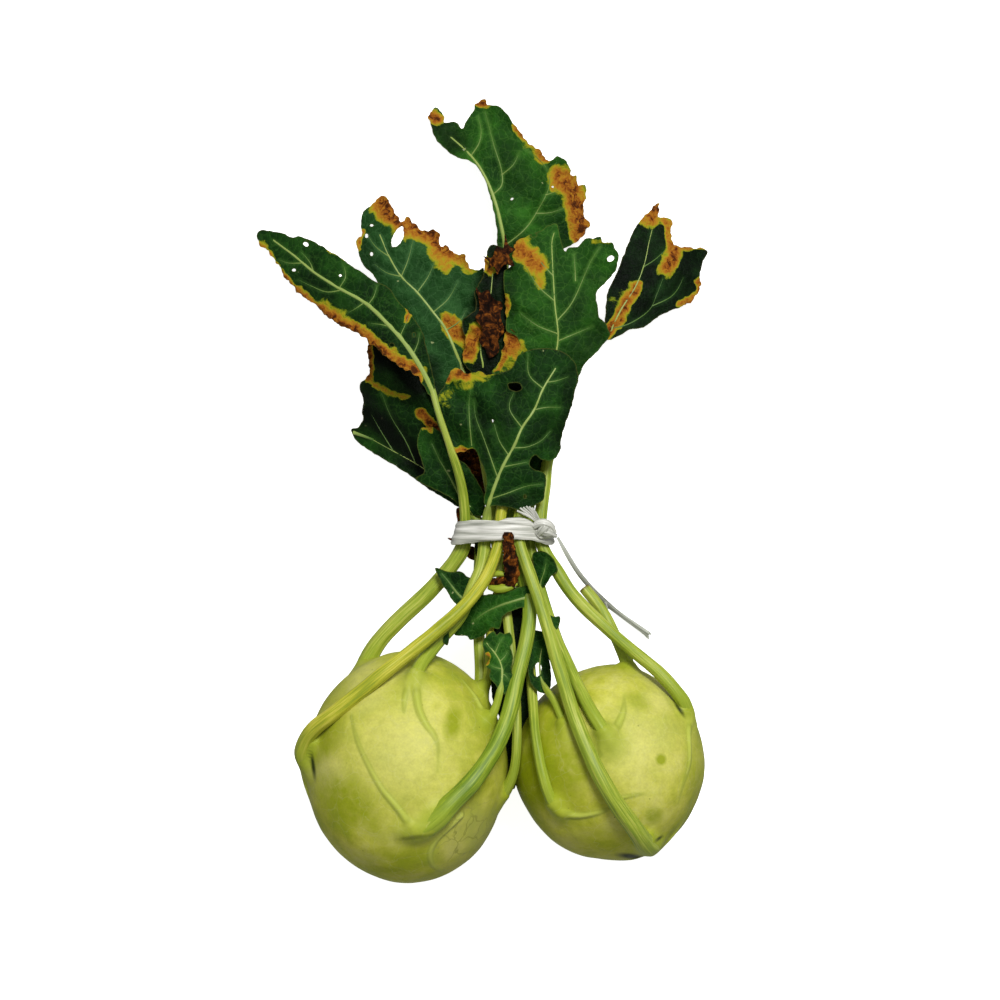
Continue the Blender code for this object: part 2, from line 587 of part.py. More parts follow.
def far_right_leaf():
    stalk = [
        (82, -93, 46.5, 3.6),
        (80.8, -87, 50, 3.0),
        (77.8, -81, 52.3, 2.7),
        (70.4, -72.6, 52, 2.6),
        (59.2, -63.4, 49.5, 2.5),
        (48, -53.6, 46.5, 2.5),
        (36.8, -42.6, 43, 2.5),
        (29.4, -31.6, 40.5, 2.5),
        (23.8, -22, 38.8, 2.5),
        (23, -12, 38, 2.5),
        (24.5, 0, 36, 2.4),
        (26, 12.4, 33, 2.3),
        (30, 28, 30, 2.2),
        (34.5, 42, 27.5, 2.1),
        (40, 53, 26, 2.0),
    ]
    rib = [(50.6, 63.2), (55.5, 73), (61.6, 82.8), (65, 92), (66.8, 100.4), (69.6, 111)]
    outline = [(49, 61), (49.2, 72.4), (50, 79.6), (52.4, 84.8), (56, 93.6), (58.4, 100), (61.2, 106)]
    outline += [(64.8, 110.8), (68.8, 114.4), (71.2, 116), (70.8, 110.8), (75.2, 110), (76.4, 107.2)]
    outline += [(75.6, 105.5), (76.4, 100.4), (79, 98.6), (83.6, 98), (87.2, 98), (90.6, 96.4)]
    outline += [(88.8, 93), (87.2, 86), (88, 82.8), (84, 76.4), (78.8, 74), (71.6, 70.8), (67.2, 67.6)]
    outline += [(64, 65.6), (59.2, 64.8), (54, 62)]
    heights = [(50.6, 63, 25), (61.6, 82.8, 20), (66.8, 100, 13), (71, 115, 6), (51, 80, 22), (59, 101, 15)]
    heights += [(76, 104, 8), (89, 95, 1), (86, 80, 6), (72, 72, 16), (60, 65, 23), (75, 88, 13)]
    surface = blade_surface(rib, heights, (0.9, 19, 0.8))
    return leaf("leaf_far_right", stalk, rib, surface, outline, bulb=BULB_RIGHT)


def low_left_leaf():
    stalk = [
        (-3.5, -86, 44, 3.0),
        (-1.5, -80, 40, 2.6),
        (-1, -73.2, 37.5, 2.4),
        (-1.6, -59.6, 35.5, 2.2),
        (-2, -40, 34, 2.2),
        (-1.2, -24, 33, 2.2),
        (-1.6, -14, 32.5, 2.2),
        (-5, -7.5, 31.5, 2.2),
    ]
    rib = [(-10, -2), (-18, 5), (-27, 11), (-36, 16), (-45, 21)]
    outline = [(-46.4, 59.6), (-46, 51.6), (-46.4, 46), (-49.2, 43.6), (-49.6, 40.8), (-48, 36.8)]
    outline += [(-48.8, 32.4), (-48.4, 29.2), (-50.4, 25.6), (-53.2, 24.8), (-51.6, 20.8), (-47.2, 17.2)]
    outline += [(-39.2, 12.4), (-33.2, 8.8), (-26.8, 4.4), (-21.2, 0.4), (-14.4, -3.6), (-9, -6.5)]
    outline += [(-6.5, -2), (-9, 8), (-12.5, 20), (-17, 32), (-21, 42), (-27, 52), (-36, 60), (-43, 62)]
    heights = [(-9, -4, 31), (-27, 11, 21), (-45, 21, 9), (-53, 24, 4), (-39, 12, 16), (-20, 0, 28)]
    heights += [(-46, 58, 17), (-49, 42, 14), (-36, 46, 22), (-20, 34, 26), (-14, 12, 28.5), (-34, 30, 21)]
    heights += [(-28, 50, 24), (-40, 61, 18)]
    surface = blade_surface(rib, heights, (0.8, 16, 0.5))
    lobe_outline = [(-8.2, -7.2), (-14, -2), (-26.8, 4.4), (-23.6, 8), (-26.4, 18.4), (-24, 25.2)]
    lobe_outline += [(-16.8, 23.6), (-11.2, 14), (-6.7, 10.6), (-2.2, 3.8), (0.4, -2), (0.4, -9), (-3.3, -10)]
    lobe_rib = [(-8.5, -3), (-13, 5), (-17, 12), (-20.5, 19)]
    lobe_heights = [(-7, -6, 33.6), (-14, 3, 36), (-26, 5, 33.5), (-25, 20, 34), (-17, 22, 37.2), (-10, 6, 36)]
    lobe_heights += [(-3, 3, 37), (0, -8, 36.5)]
    lobes = lobe("leaf_low_left_lobe", lobe_outline, lobe_rib, lobe_heights, (-4, -8.5, 32))
    return leaf("leaf_low_left", stalk, rib, surface, outline, lobes=lobes, bulb=BULB_LEFT)


def withered_leaf():
    stalk = [
        (29, -128, 59, 3.4),
        (26.5, -122, 61.5, 2.7),
        (24.2, -114.5, 63.5, 2.2),
        (21.2, -98.8, 60.5, 2.0),
        (20, -84, 52, 2.0),
        (19, -70, 42.5, 2.0),
        (17.6, -56, 36.5, 2.0),
        (15, -38, 32, 2.1),
        (12.4, -22, 30.8, 2.2),
        (11.6, -12, 30, 2.2),
        (8, 2, 28, 2.1),
        (3, 22, 28, 2.0),
        (0.6, 38, 31, 1.9),
    ]
    rib = [(0, 50), (-1, 58), (1, 68), (3, 78), (4, 88), (5.5, 94)]
    outline = [(-3, 46), (-8, 52), (-7, 60), (-8.4, 68), (-3, 73), (-3.4, 80), (0, 86), (0.8, 93)]
    outline += [(3, 98.4), (9, 97), (9.4, 92), (6.8, 86), (7.6, 78), (6.4, 68), (7.6, 60), (5, 50), (2, 45)]
    heights = [(0, 47, 34), (-7, 56, 33.2), (6, 58, 34), (0, 70, 34), (-3, 78, 33), (6, 84, 32.5)]
    heights += [(1, 92, 31.5), (8, 96, 30)]
    surface = blade_surface(rib, heights, (1.0, 9, 0.3))
    scrap_outline = [(-7, 15), (-4, 18.5), (5, 19), (7, 8), (6, -3), (-1, -3.5), (-4.5, 3), (-6.5, 9)]
    scrap_heights = [(-7, 12, 29), (-4, 18, 29.4), (5, 19, 29.4), (6, -3, 29.4), (-1, -3, 29.2), (0, 8, 29.4)]
    scrap_surface = blade_surface([(8, 2), (3, 22)], scrap_heights, (0.2, 9, 0.3))
    scrap = blade("withered_scrap", scrap_outline, scrap_surface, leaf_brown(), grid=4.0, edge=3.0)
    return leaf("leaf_withered", stalk, rib, surface, outline, lobes=[scrap], bulb=BULB_RIGHT)


def trimmed_front_stalk():
    route = [
        (66, -140, 44, 5.0),
        (66.5, -141.5, 50, 4.4),
        (64.5, -140, 58, 4.0),
        (59.2, -132.8, 68.5, 3.6),
        (48, -116, 76, 3.2),
        (37.6, -93.2, 71.5, 2.9),
        (31.2, -73.2, 62.5, 2.7),
        (25.6, -54, 54, 2.5),
        (19.4, -35.2, 47.8, 2.4),
        (14.8, -21.6, 44.6, 2.3),
        (14, -14, 43.8, 2.3),
        (15, -7, 42.3, 2.3),
        (16.5, 6, 40.2, 2.3),
    ]
    obj = tube("stalk_trimmed_front", route, stalk_green())
    return boolean(obj, [swollen_stem("stalk_front_clear", BULB_RIGHT, grow=GAP)], "DIFFERENCE")


def trimmed_behind_stalk():
    route = [
        (51.5, -101, 70.5, 3.8),
        (48, -95.5, 71.5, 3.0),
        (43.2, -87.8, 68.5, 2.6),
        (39.3, -80.5, 63, 2.5),
        (35.2, -72, 56.5, 2.4),
        (29, -58, 48.5, 2.3),
        (24, -42.8, 41.5, 2.2),
        (20, -28, 36.5, 2.2),
        (18.4, -16, 34.8, 2.2),
        (18.6, -4, 34, 2.1),
        (19.5, 8, 32.5, 2.1),
    ]
    obj = tube("stalk_trimmed_behind", route, stalk_green())
    outline = [(20.4, -24.5), (26, -24.8), (30, -31.2), (27.2, -34.4), (23.6, -39), (20.8, -34), (19.8, -29)]
    rib = [(23.2, -36), (24.5, -32.5), (25.6, -28)]
    heights = [(20.5, -26, 42.4), (26, -25, 44.6), (30, -31, 45), (23.6, -38.5, 42.6), (20.6, -34, 41.6)]
    parts = lobe("stalk_behind_lobe", outline, rib, heights, (22.8, -39.5, 40.2))
    scrap_outline = [(16.5, 4), (21.5, 3), (22.5, 9), (23.5, 16), (24.5, 24), (20, 27), (16.5, 20), (16.2, 12)]
    scrap_heights = [(17, 4, 34), (22, 8, 34), (24, 20, 34), (20, 27, 33.6), (17, 16, 34)]
    scrap_surface = blade_surface([(19, 6), (20.5, 25)], scrap_heights, (0.2, 9, 0.3))
    parts.append(blade("behind_scrap", scrap_outline, scrap_surface, leaf_green(), grid=4.0, edge=3.0))
    boolean(obj, parts, "UNION")
    return boolean(obj, [swollen_stem("stalk_behind_clear", BULB_RIGHT, grow=GAP)], "DIFFERENCE")


def stub_stalk():
    route = [
        (59, -77, 44, 3.0),
        (58, -70, 42, 2.6),
        (53.6, -59.6, 38.5, 2.3),
        (48, -48.4, 36, 2.2),
        (40.4, -38.8, 34, 2.2),
    ]
    obj = tube("stalk_stub", route, stalk_green(), step=5.0)
    return boolean(obj, [swollen_stem("stub_clear", BULB_RIGHT, grow=GAP)], "DIFFERENCE")


def crinkled_small_leaf():
    stalk = [(1, -94.5, 54, 3.0), (3.6, -89.5, 57, 2.0), (5.6, -84.4, 57.4, 1.6), (7, -79, 57.6, 1.4)]
    rib = [(7.4, -76.5), (6.5, -70.5), (3.6, -62)]
    outline = [(0.4, -60), (4.4, -56), (6.8, -56.8), (10.4, -56.8), (11, -60.8), (10.2, -63.2)]
    outline += [(10.6, -69.6), (10, -76), (7.6, -81.2), (4.4, -78), (2.4, -72), (1.2, -65.6)]
    heights = [(7.5, -80, 58.2), (6.5, -70, 56.5), (3, -60, 53), (10, -58, 52.6), (10.4, -72, 57.6)]
    heights += [(1.4, -66, 53)]
    surface = blade_surface(rib, heights, (1.4, 7, 0.0))
    obj = tube("small_leaf_crinkled", stalk + rib_route(rib, surface, 0.6, 1.2), stalk_green(), 6, 5.0)
    boolean(obj, [blade("crinkled_blade", outline, surface, leaf_green(), grid=4.0, edge=3.0)], "UNION")
    return boolean(obj, [swollen_stem("crinkled_clear", BULB_LEFT, grow=GAP)], "DIFFERENCE")


def dark_small_leaf():
    stalk = [(34.5, -99.5, 64.5, 2.2), (32, -92, 64.8, 1.6), (28.5, -84, 59.5, 1.4), (25.2, -79, 54.5, 1.3)]
    rib = [(23.4, -75.5), (22.6, -70), (23.4, -63)]
    outline = [(20.8, -57), (24.4, -56.4), (26.4, -61), (26.2, -68), (27, -75), (25.6, -80.5), (22.6, -78)]
    outline += [(21, -72), (21.4, -64)]
    heights = [(25, -79, 53.5), (22.8, -70, 49.5), (23, -58, 45), (26.5, -68, 48), (21.2, -66, 47.6)]
    surface = blade_surface(rib, heights, (0.4, 9, 0.0))
    obj = tube("small_leaf_dark", stalk + rib_route(rib, surface, 0.6, 1.2), stalk_green(), 6, 5.0)
    boolean(obj, [blade("dark_blade", outline, surface, leaf_green(), grid=4.0, edge=3.0)], "UNION")
    return boolean(obj, [swollen_stem("dark_clear", BULB_RIGHT, grow=GAP)], "DIFFERENCE")


def withered_small_leaf():
    stalk = [
        (-1, -84, 47, 2.4),
        (1.5, -76, 43.5, 1.9),
        (2.6, -64, 40.6, 1.7),
        (3.2, -50, 40.6, 1.7),
        (5.6, -41.5, 41.4, 1.8),
        (8.4, -36.5, 45.4, 2.1),
    ]
    rib = [(10.2, -32.5), (11, -27), (10.4, -21.5)]
    outline = [(8, -15.4), (12, -15.8), (13.4, -21), (13.2, -28), (14.2, -35.5), (10.8, -37.4), (7.4, -34)]
    outline += [(8.4, -28), (7.6, -21.5)]
    heights = [(10, -36, 47.6), (11, -28, 49.8), (10, -16, 52), (13.4, -26, 50.8), (7.8, -24, 50.4)]
    surface = blade_surface(rib, heights, (0.8, 6, 0.0))
    obj = tube("small_leaf_withered", stalk + rib_route(rib, surface, 0.7, 1.8), stalk_green(), 6, 6.0)
    boolean(obj, [blade("withered_blade", outline, surface, leaf_brown(), grid=4.0, edge=3.0)], "UNION")
    return boolean(obj, [swollen_stem("withered_clear", BULB_LEFT, grow=GAP)], "DIFFERENCE")


def tie():
    """The ribbon's band round the stalks, with its knot and the short frayed end at the knot."""
    loop = [(-12, 36.5), (-10, 41), (-3, 44.6), (3.5, 47.8), (9, 48.4), (15, 47.7), (20.5, 44.8), (26, 41.6)]
    loop += [(27.2, 37), (22, 32), (16, 28.2), (11, 27), (3.5, 28.6), (-4, 29.6), (-10.4, 32)]
    line = smooth_line(loop, closed=True, samples=6)
    line = even_steps(np.vstack([line, line[:1]]), 3.2)[:-1, :2]
    along = np.roll(line, -1, axis=0) - np.roll(line, 1, axis=0)
    outward = np.column_stack([-along[:, 1], along[:, 0]])
    outward /= np.linalg.norm(outward, axis=1)[:, None]
    profile = [(-0.5, 0.0), (-0.5, 1.0), (0.0, 1.25), (0.5, 1.0), (0.5, 0.0)]
    count, sides = len(line), len(profile)
    points, faces = [], []
    for place, out in zip(line, outward):
        for across, lift in profile:
            x, z = place + out * (0.2 + lift * TIE_THICKNESS)
            points.append((x, TIE_Y + across * TIE_WIDTH, z))
    for i in range(count):
        for k in range(sides):
            a, b = i * sides + k, i * sides + (k + 1) % sides
            c, d = ((i + 1) % count) * sides + (k + 1) % sides, ((i + 1) % count) * sides + k
            faces.append((a, b, c, d))
    obj = mesh_object("tie", points, faces, ribbon_plastic())
    knot = [(21.5, -15.6, 45.5, 2.0), (24.4, -14.6, 45.6, 3.2), (27.3, -15.4, 43.6, 2.4)]
    frayed = [(22.4, -13, 46.6, 2.0), (20.4, -10, 48, 1.8), (17.2, -7.4, 49.6, 2.4)]
    parts = [tube("knot", knot, ribbon_plastic(), sides=9, step=1.6)]
    parts.append(tube("frayed", frayed, ribbon_plastic(), step=3.0, flatness=0.4))
    return boolean(obj, parts, "UNION")


def tie_tail():
    """The ribbon's long end, which falls from the knot to the surface and lies along it."""
    route = [(29.8, -18.6, 42.6), (33.2, -24.8, 39), (38.6, -33.2, 29), (44.4, -40, 16), (50, -45.4, 5.6)]
    route += [(55, -49.4, 1.8), (61, -53.8, 1.6), (66.8, -58, 1.6)]
    line = even_steps(smooth_line(route), TAIL_DIAMETER * 2.2)
    curve = bpy.data.curves.new("tie_tail", "CURVE")
    curve.dimensions = "3D"
    spline = curve.splines.new("POLY")
    spline.points.add(len(line) - 1)
    for point, place in zip(spline.points, line):
        point.co = (*(place * MM), 1.0)
    curve.bevel_depth = TAIL_DIAMETER / 2 * MM
    curve.bevel_resolution = 2
    curve.use_fill_caps = True
    curve.materials.append(ribbon_plastic())
    obj = bpy.data.objects.new("tie_tail", curve)
    bpy.context.scene.collection.objects.link(obj)
    return obj


def main():
    empty_scene()
    bunch = bpy.data.objects.new("bunch", None)
    bpy.context.scene.collection.objects.link(bunch)
    bunch.location = (CENTRE_SHIFT[0] * MM, CENTRE_SHIFT[1] * MM, 0)
    pieces = [swollen_stem("bulb_left", BULB_LEFT), swollen_stem("bulb_right", BULB_RIGHT)]
    pieces += [far_left_leaf(), mid_left_leaf(), top_leaf(), front_leaf(), upper_centre_leaf()]
    pieces += [far_right_leaf(), low_left_leaf(), withered_leaf()]
    pieces += [trimmed_front_stalk(), trimmed_behind_stalk(), stub_stalk()]
    pieces += [crinkled_small_leaf(), dark_small_leaf(), withered_small_leaf()]
    pieces += [tie(), tie_tail()]
    for piece in pieces:
        piece.parent = bunch


main()
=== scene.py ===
import math

import bmesh
import bpy
import numpy as np
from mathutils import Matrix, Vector, geometry, noise


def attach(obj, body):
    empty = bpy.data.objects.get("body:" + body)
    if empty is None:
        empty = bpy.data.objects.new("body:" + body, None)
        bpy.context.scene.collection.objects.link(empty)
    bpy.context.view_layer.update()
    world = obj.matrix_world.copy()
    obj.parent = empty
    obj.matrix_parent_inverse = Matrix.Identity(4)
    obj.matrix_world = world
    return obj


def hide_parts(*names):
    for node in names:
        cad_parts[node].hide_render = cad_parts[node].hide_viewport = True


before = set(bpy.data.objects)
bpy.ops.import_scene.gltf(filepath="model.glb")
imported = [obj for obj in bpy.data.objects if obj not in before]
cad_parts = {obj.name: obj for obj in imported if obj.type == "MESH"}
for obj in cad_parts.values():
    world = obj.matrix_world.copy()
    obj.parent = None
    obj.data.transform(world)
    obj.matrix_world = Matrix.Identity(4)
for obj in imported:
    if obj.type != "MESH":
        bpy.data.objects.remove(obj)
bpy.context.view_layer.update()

# Camera
# The bunch lies on a white table and the camera looks straight down on it from five metres.
# A pixel is 0.4 mm at the height of the swollen stems' middle, and the leaves point up.
MM = 0.001
PHOTO_PIXELS = 1000
MM_PER_PIXEL = 0.4
CAMERA_HEIGHT_MM = 5000
STEM_MIDDLE_HEIGHT_MM = 40
CAMERA_OVER_MM = (6.95, -3.72)

camera_data = bpy.data.cameras.new("camera")
camera_data.sensor_width = 36
camera_data.lens = (camera_data.sensor_width * (CAMERA_HEIGHT_MM - STEM_MIDDLE_HEIGHT_MM)
    / (PHOTO_PIXELS * MM_PER_PIXEL))
camera = bpy.data.objects.new("camera", camera_data)
camera.location = (CAMERA_OVER_MM[0] * MM, CAMERA_OVER_MM[1] * MM, CAMERA_HEIGHT_MM * MM)
bpy.context.scene.collection.objects.link(camera)
bpy.context.scene.camera = camera


# Ribbon's tail
# The long loose end of the tying ribbon: a flat split film of white polypropylene, gathered
# thin at the knot. It falls from the knot to the table and lies there, a little twisted.
CENTRE_SHIFT = np.array([0.15, -0.12, 0.0])
TAIL_ROUTE = [(29.8, -18.6, 42.6), (33.2, -24.8, 39), (38.6, -33.2, 29), (44.4, -40, 16), (50, -45.4, 5.6),
    (55, -49.4, 1.8), (61, -53.8, 1.6), (66.8, -58, 1.6)]
MIXED_COLOUR = 2  # the output of a Mix node that holds a colour


def srgb(code):
    """A colour from its sRGB hex code, turned linear, as a node's socket takes it."""
    parts = [int(code[i : i + 2], 16) / 255 for i in (1, 3, 5)]
    return (*[c / 12.92 if c <= 0.04045 else ((c + 0.055) / 1.055) ** 2.4 for c in parts], 1.0)


def add_node(tree, kind, settings=None, links=None):
    """Adds a node with its properties and sockets set, a ramp's stops among them, and its links.

    A link from a node starts at its first output, and at the mixed colour where it is a Mix.
    """
    made = tree.nodes.new("ShaderNode" + kind)
    for key, value in (settings or {}).items():
        if key == "stops":
            ramp = made.color_ramp.elements
            while len(ramp) < len(value):
                ramp.new(0.5)
            for stop, (place, code) in zip(ramp, value):
                stop.position = place
                stop.color = srgb(code)
        elif isinstance(key, str) and hasattr(made, key):
            setattr(made, key, value)
        else:
            made.inputs[key].default_value = value
    for key, source in (links or {}).items():
        if isinstance(source, bpy.types.Node):
            source = source.outputs[MIXED_COLOUR if source.type == "MIX" else 0]
        tree.links.new(source, made.inputs[key])
    return made


def start_material(name):
    """A new material, its empty node tree, and the surface's place in millimetres."""
    made = bpy.data.materials.new(name)
    made.use_nodes = True
    tree = made.node_tree
    tree.nodes.clear()
    spot = add_node(tree, "TexCoord")
    place = add_node(tree, "VectorMath", {"operation": "SCALE", "Scale": 1 / MM},
        {0: spot.outputs["Object"]})
    return made, tree, place


def smooth_line(points, closed=False, samples=8):
    """A Catmull-Rom curve through the points, as a close polyline."""
    p = np.array(points, float)
    if closed:
        p = np.vstack([p[-1], p, p[0], p[1]])
    else:
        p = np.vstack([2 * p[0] - p[1], p, 2 * p[-1] - p[-2]])
    line = []
    for before, start, end, after in zip(p, p[1:], p[2:], p[3:]):
        bend = 2 * before - 5 * start + 4 * end - after
        curl = 3 * start - before - 3 * end + after
        for t in np.arange(samples) / samples:
            line.append(0.5 * (2 * start + (end - before) * t + bend * t**2 + curl * t**3))
    if not closed:
        line.append(p[-2])
    return np.array(line)


def even_steps(line, step):
    """Points on the polyline about this far apart, both ends kept."""
    axes = min(3, line.shape[1])
    run = np.concatenate([[0], np.cumsum(np.linalg.norm(np.diff(line[:, :axes], axis=0), axis=1))])
    count = max(2, round(run[-1] / step))
    at = np.linspace(0, run[-1], count + 1)
    return np.column_stack([np.interp(at, run, line[:, i]) for i in range(line.shape[1])])


def wobble(at, size, seed=0.0):
    """Smooth noise about zero at points in millimetres or of the plan, with lumps of this size."""
    if at.shape[1] == 2:
        at = np.column_stack([at, np.zeros(len(at))])
    return np.array([noise.noise(Vector(p) / size + Vector((seed, -seed, 2 * seed))) for p in at])


def sweep(line, profile, closed=False, twist=0.0):
    """Carries a closed profile along a line.

    profile(share) gives the section's points as (sideways, up) at that share of the run.
    Returns the points, the faces and each point's share of the run.
    """
    along = np.gradient(line[:, :3], axis=0)
    if closed:
        along = np.roll(line[:, :3], -1, axis=0) - np.roll(line[:, :3], 1, axis=0)
    side = Vector((0.0, 0.0, 1.0)).cross(Vector(along[0])).normalized()
    points, shares, count = [], [], len(line)
    for i, (place, direction) in enumerate(zip(line, along)):
        share = i / (count - 1)
        direction = Vector(direction).normalized()
        side = (side - side.dot(direction) * direction).normalized()
        up = direction.cross(side)
        turn = twist * share
        across = np.array(side * math.cos(turn) + up * math.sin(turn))
        lift = np.array(up * math.cos(turn) - side * math.sin(turn))
        section = profile(share)
        points.append(place[:3] + section[:, :1] * across + section[:, 1:2] * lift)
        shares.append(np.full(len(section), share))
    sides = len(points[0])
    faces = []
    for i in range(count if closed else count - 1):
        start, end = i * sides, (i + 1) % count * sides
        for k in range(sides):
            after = (k + 1) % sides
            faces.append((start + k, start + after, end + after, end + k))
    if not closed:
        faces.append(tuple(range(sides)))
        faces.append(tuple(range((count - 1) * sides, count * sides)))
    return np.vstack(points), faces, np.concatenate(shares)


def piece(name, parts, finish, node):
    """One named piece from parts of (points in mm, faces, attributes), riding where its node is."""
    points, faces, start = [], [], 0
    for part_points, part_faces, _ in parts:
        points.append(part_points + CENTRE_SHIFT)
        faces += [tuple(int(i) + start for i in face) for face in part_faces]
        start += len(part_points)
    mesh = bpy.data.meshes.new(name)
    mesh.from_pydata(np.vstack(points) * MM, [], faces)
    work = bmesh.new()
    work.from_mesh(mesh)
    bmesh.ops.recalc_face_normals(work, faces=work.faces)
    work.to_mesh(mesh)
    work.free()
    for key in parts[0][2]:
        values = np.concatenate([part[2][key] for part in parts]).astype(np.float32)
        vector = values.ndim == 2
        held = mesh.attributes.new(key, "FLOAT_VECTOR" if vector else "FLOAT", "POINT")
        held.data.foreach_set("vector" if vector else "value", values.ravel())
    mesh.shade_smooth()
    mesh.set_sharp_from_angle(angle=math.radians(60))
    mesh.materials.append(finish)
    made = bpy.data.objects.new(name, mesh)
    bpy.context.scene.collection.objects.link(made)
    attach(made, "root")
    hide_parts(node)
    return made


def split_film(name, dark, middle, light):
    """Split-film polypropylene, drawn lengthwise: its own fine streaks, with a painted sheen on the raised
    streaks and folds and painted shade in the sunken ones.
    """
    made, tree, _ = start_material(name)
    grain = add_node(tree, "Attribute", {"attribute_name": "grain"}).outputs["Vector"]
    # Fibres of the split film are about 0.3 mm apart and tens of millimetres long.
    streaks = add_node(tree, "TexNoise", {"Scale": 1 / 0.35, "Detail": 3.0}, {"Vector": grain})
    folds = add_node(tree, "TexNoise", {"Scale": 1 / 1.6, "Detail": 2.0}, {"Vector": grain})
    relief = add_node(tree, "Math", {"operation": "MULTIPLY_ADD", 1: 0.6}, {0: streaks, 2: folds})
    # Painted light and shade: the colour runs from dark in the sunken streaks and folds to light on the
    # raised ones.
    stops = [(0.6, dark), (0.76, middle), (0.96, light)]
    colour = add_node(tree, "ValToRGB", {"stops": stops}, {"Fac": relief})
    bump = add_node(tree, "Bump", {"Strength": 0.7, "Distance": 0.3 * MM}, {"Height": relief})
    shader = add_node(tree, "BsdfPrincipled", {"Roughness": 0.36, "IOR": 1.49, "Specular IOR Level": 0.4},
        {"Base Color": colour, "Normal": bump})
    add_node(tree, "OutputMaterial", links={"Surface": shader})
    return made


FILM = split_film("split_film_polypropylene", "#95978B", "#BCBDB1", "#E6E5DC")
TAIL_FILM = split_film("gathered_film_polypropylene", "#9DA194", "#C2C5B8", "#DCDED3")
STRAND_SIDES = 18
FIBRE_DRAW = 25  # how many times longer than wide the grain is drawn


def film_strand(route, thin, seed=0.0, twist=0.0, step=1.0):
    """A strand of gathered film along (x, y, z, half width), creased lengthwise."""
    line = even_steps(smooth_line(route), step)
    turn = np.arange(STRAND_SIDES) * 2 * math.pi / STRAND_SIDES
    shares = np.linspace(0, 1, len(line))

    def section(share):
        half = np.interp(share, shares, line[:, 3])
        crease = 1 + 0.14 * np.cos(5 * turn + 7 * share + seed)
        crease += 0.1 * np.cos(8 * turn - 5 * share + 2 * seed)
        return np.column_stack([half * crease * np.cos(turn), thin * half * crease * np.sin(turn)])

    points, faces, share = sweep(line, section, twist=twist)
    points[:, 2] = np.maximum(points[:, 2], 0.05)
    around = np.tile(turn, len(line))
    run = share * np.linalg.norm(np.diff(line[:, :3], axis=0), axis=1).sum()
    grain = np.column_stack([np.cos(around) * 1.5, np.sin(around) + seed, run / FIBRE_DRAW])
    return points, faces, {"grain": grain}


TAIL_HALF_WIDTHS = [0.5, 0.85, 0.95, 1.0, 1.15, 0.95, 1.1, 1.35]
tail_route = [(*point, half) for point, half in zip(TAIL_ROUTE, TAIL_HALF_WIDTHS)]
tail_parts = [film_strand(tail_route, 0.4, twist=0.3),
    film_strand([(47.4, -42.6, 10, 0.3), (49.4, -45.2, 7, 0.35), (50.4, -48.8, 4.5, 0.2)], 0.5, 1.0),
    film_strand([(64.6, -56.6, 1.6, 0.7), (66.6, -57.2, 1.6, 0.5), (67.9, -57.8, 1.2, 0.2)], 0.4, 2.0,
        step=0.5),
    film_strand([(64.6, -56.8, 1.3, 0.7), (66.2, -58.6, 1.2, 0.5), (67.0, -59.6, 1.0, 0.2)], 0.4, 3.0,
        step=0.5)]
tail = piece("tie_tail_film", tail_parts, TAIL_FILM, "tie_tail")


# Swollen stems
# The two round stems that are eaten, each an uneven ball with a waxy skin. Each leaf grows out
# of the skin at a foot, and the foot's two edges run on over the skin as raised ridges.
STEM_SPHERE_LEVEL = 7
RIDGE_FILLET, FOOT_FILLET = 0.9, 5.0
UPPER_SIDE_FINER = 0.5  # how far the sphere's points are crowded towards its top
SKIN_REACH, SKIN_ROUNDS, SKIN_STEP = 9.0, 14, 0.9  # how the skin is drawn in to its ridges and feet
ROUTE_STEP = 2.5
LEFT_CENTRE, LEFT_HALF = (-30.4, -110.8, 38.0), (40.0, 46.5, 39.0)
RIGHT_CENTRE, RIGHT_HALF = (50.8, -108.8, 36.0), (38.0, 39.0, 37.0)

# Where each stalk leaves its stem, as (x, y, z, radius).
LEFT_FEET = {"leaf_far_left": [(-50, -78, 28, 4.2), (-47, -70, 28.5, 3.7)],
    "leaf_mid_left": [(4, -124.5, 41, 2.8), (8, -121, 44, 2.4)],
    "leaf_top": [(-30, -135, 70.4, 3.4), (-24.5, -134.4, 71.2, 4.3), (-18, -129.8, 72.8, 4.5)],
    "leaf_front": [(-28, -78, 63, 3.6), (-26.6, -73, 61.5, 3.0)],
    "leaf_upper_centre": [(-68, -112, 43, 4.2), (-71.5, -106, 47.5, 3.6), (-70.5, -99.5, 52.5, 3.2)],
    "leaf_low_left": [(-3.5, -86, 44, 3.0), (-1.5, -80, 40, 2.6)],
    "small_leaf_crinkled": [(1, -94.5, 54, 3.0), (3.6, -89.5, 57, 2.0)],
    "small_leaf_withered": [(-1, -84, 47, 2.4), (1.5, -76, 43.5, 1.9)]}
RIGHT_FEET = {"leaf_far_right": [(82, -93, 46.5, 3.6), (80.8, -87, 50, 3.0)],
    "leaf_withered": [(32, -128.2, 60.4, 2.6), (28.2, -124.6, 61.8, 2.5)],
    "stalk_trimmed_front": [(66, -140, 44, 5.0), (66.5, -141.5, 50, 4.4), (64.5, -140, 58, 4.0)],
    "stalk_trimmed_behind": [(51.5, -101, 70.5, 3.8), (48, -95.5, 71.5, 3.0)],
    "stalk_stub": [(59, -77, 44, 3.0), (58, -70, 42, 2.6)],
    "small_leaf_dark": [(34.5, -99.5, 64.5, 2.2), (32, -92, 64.8, 1.6)]}

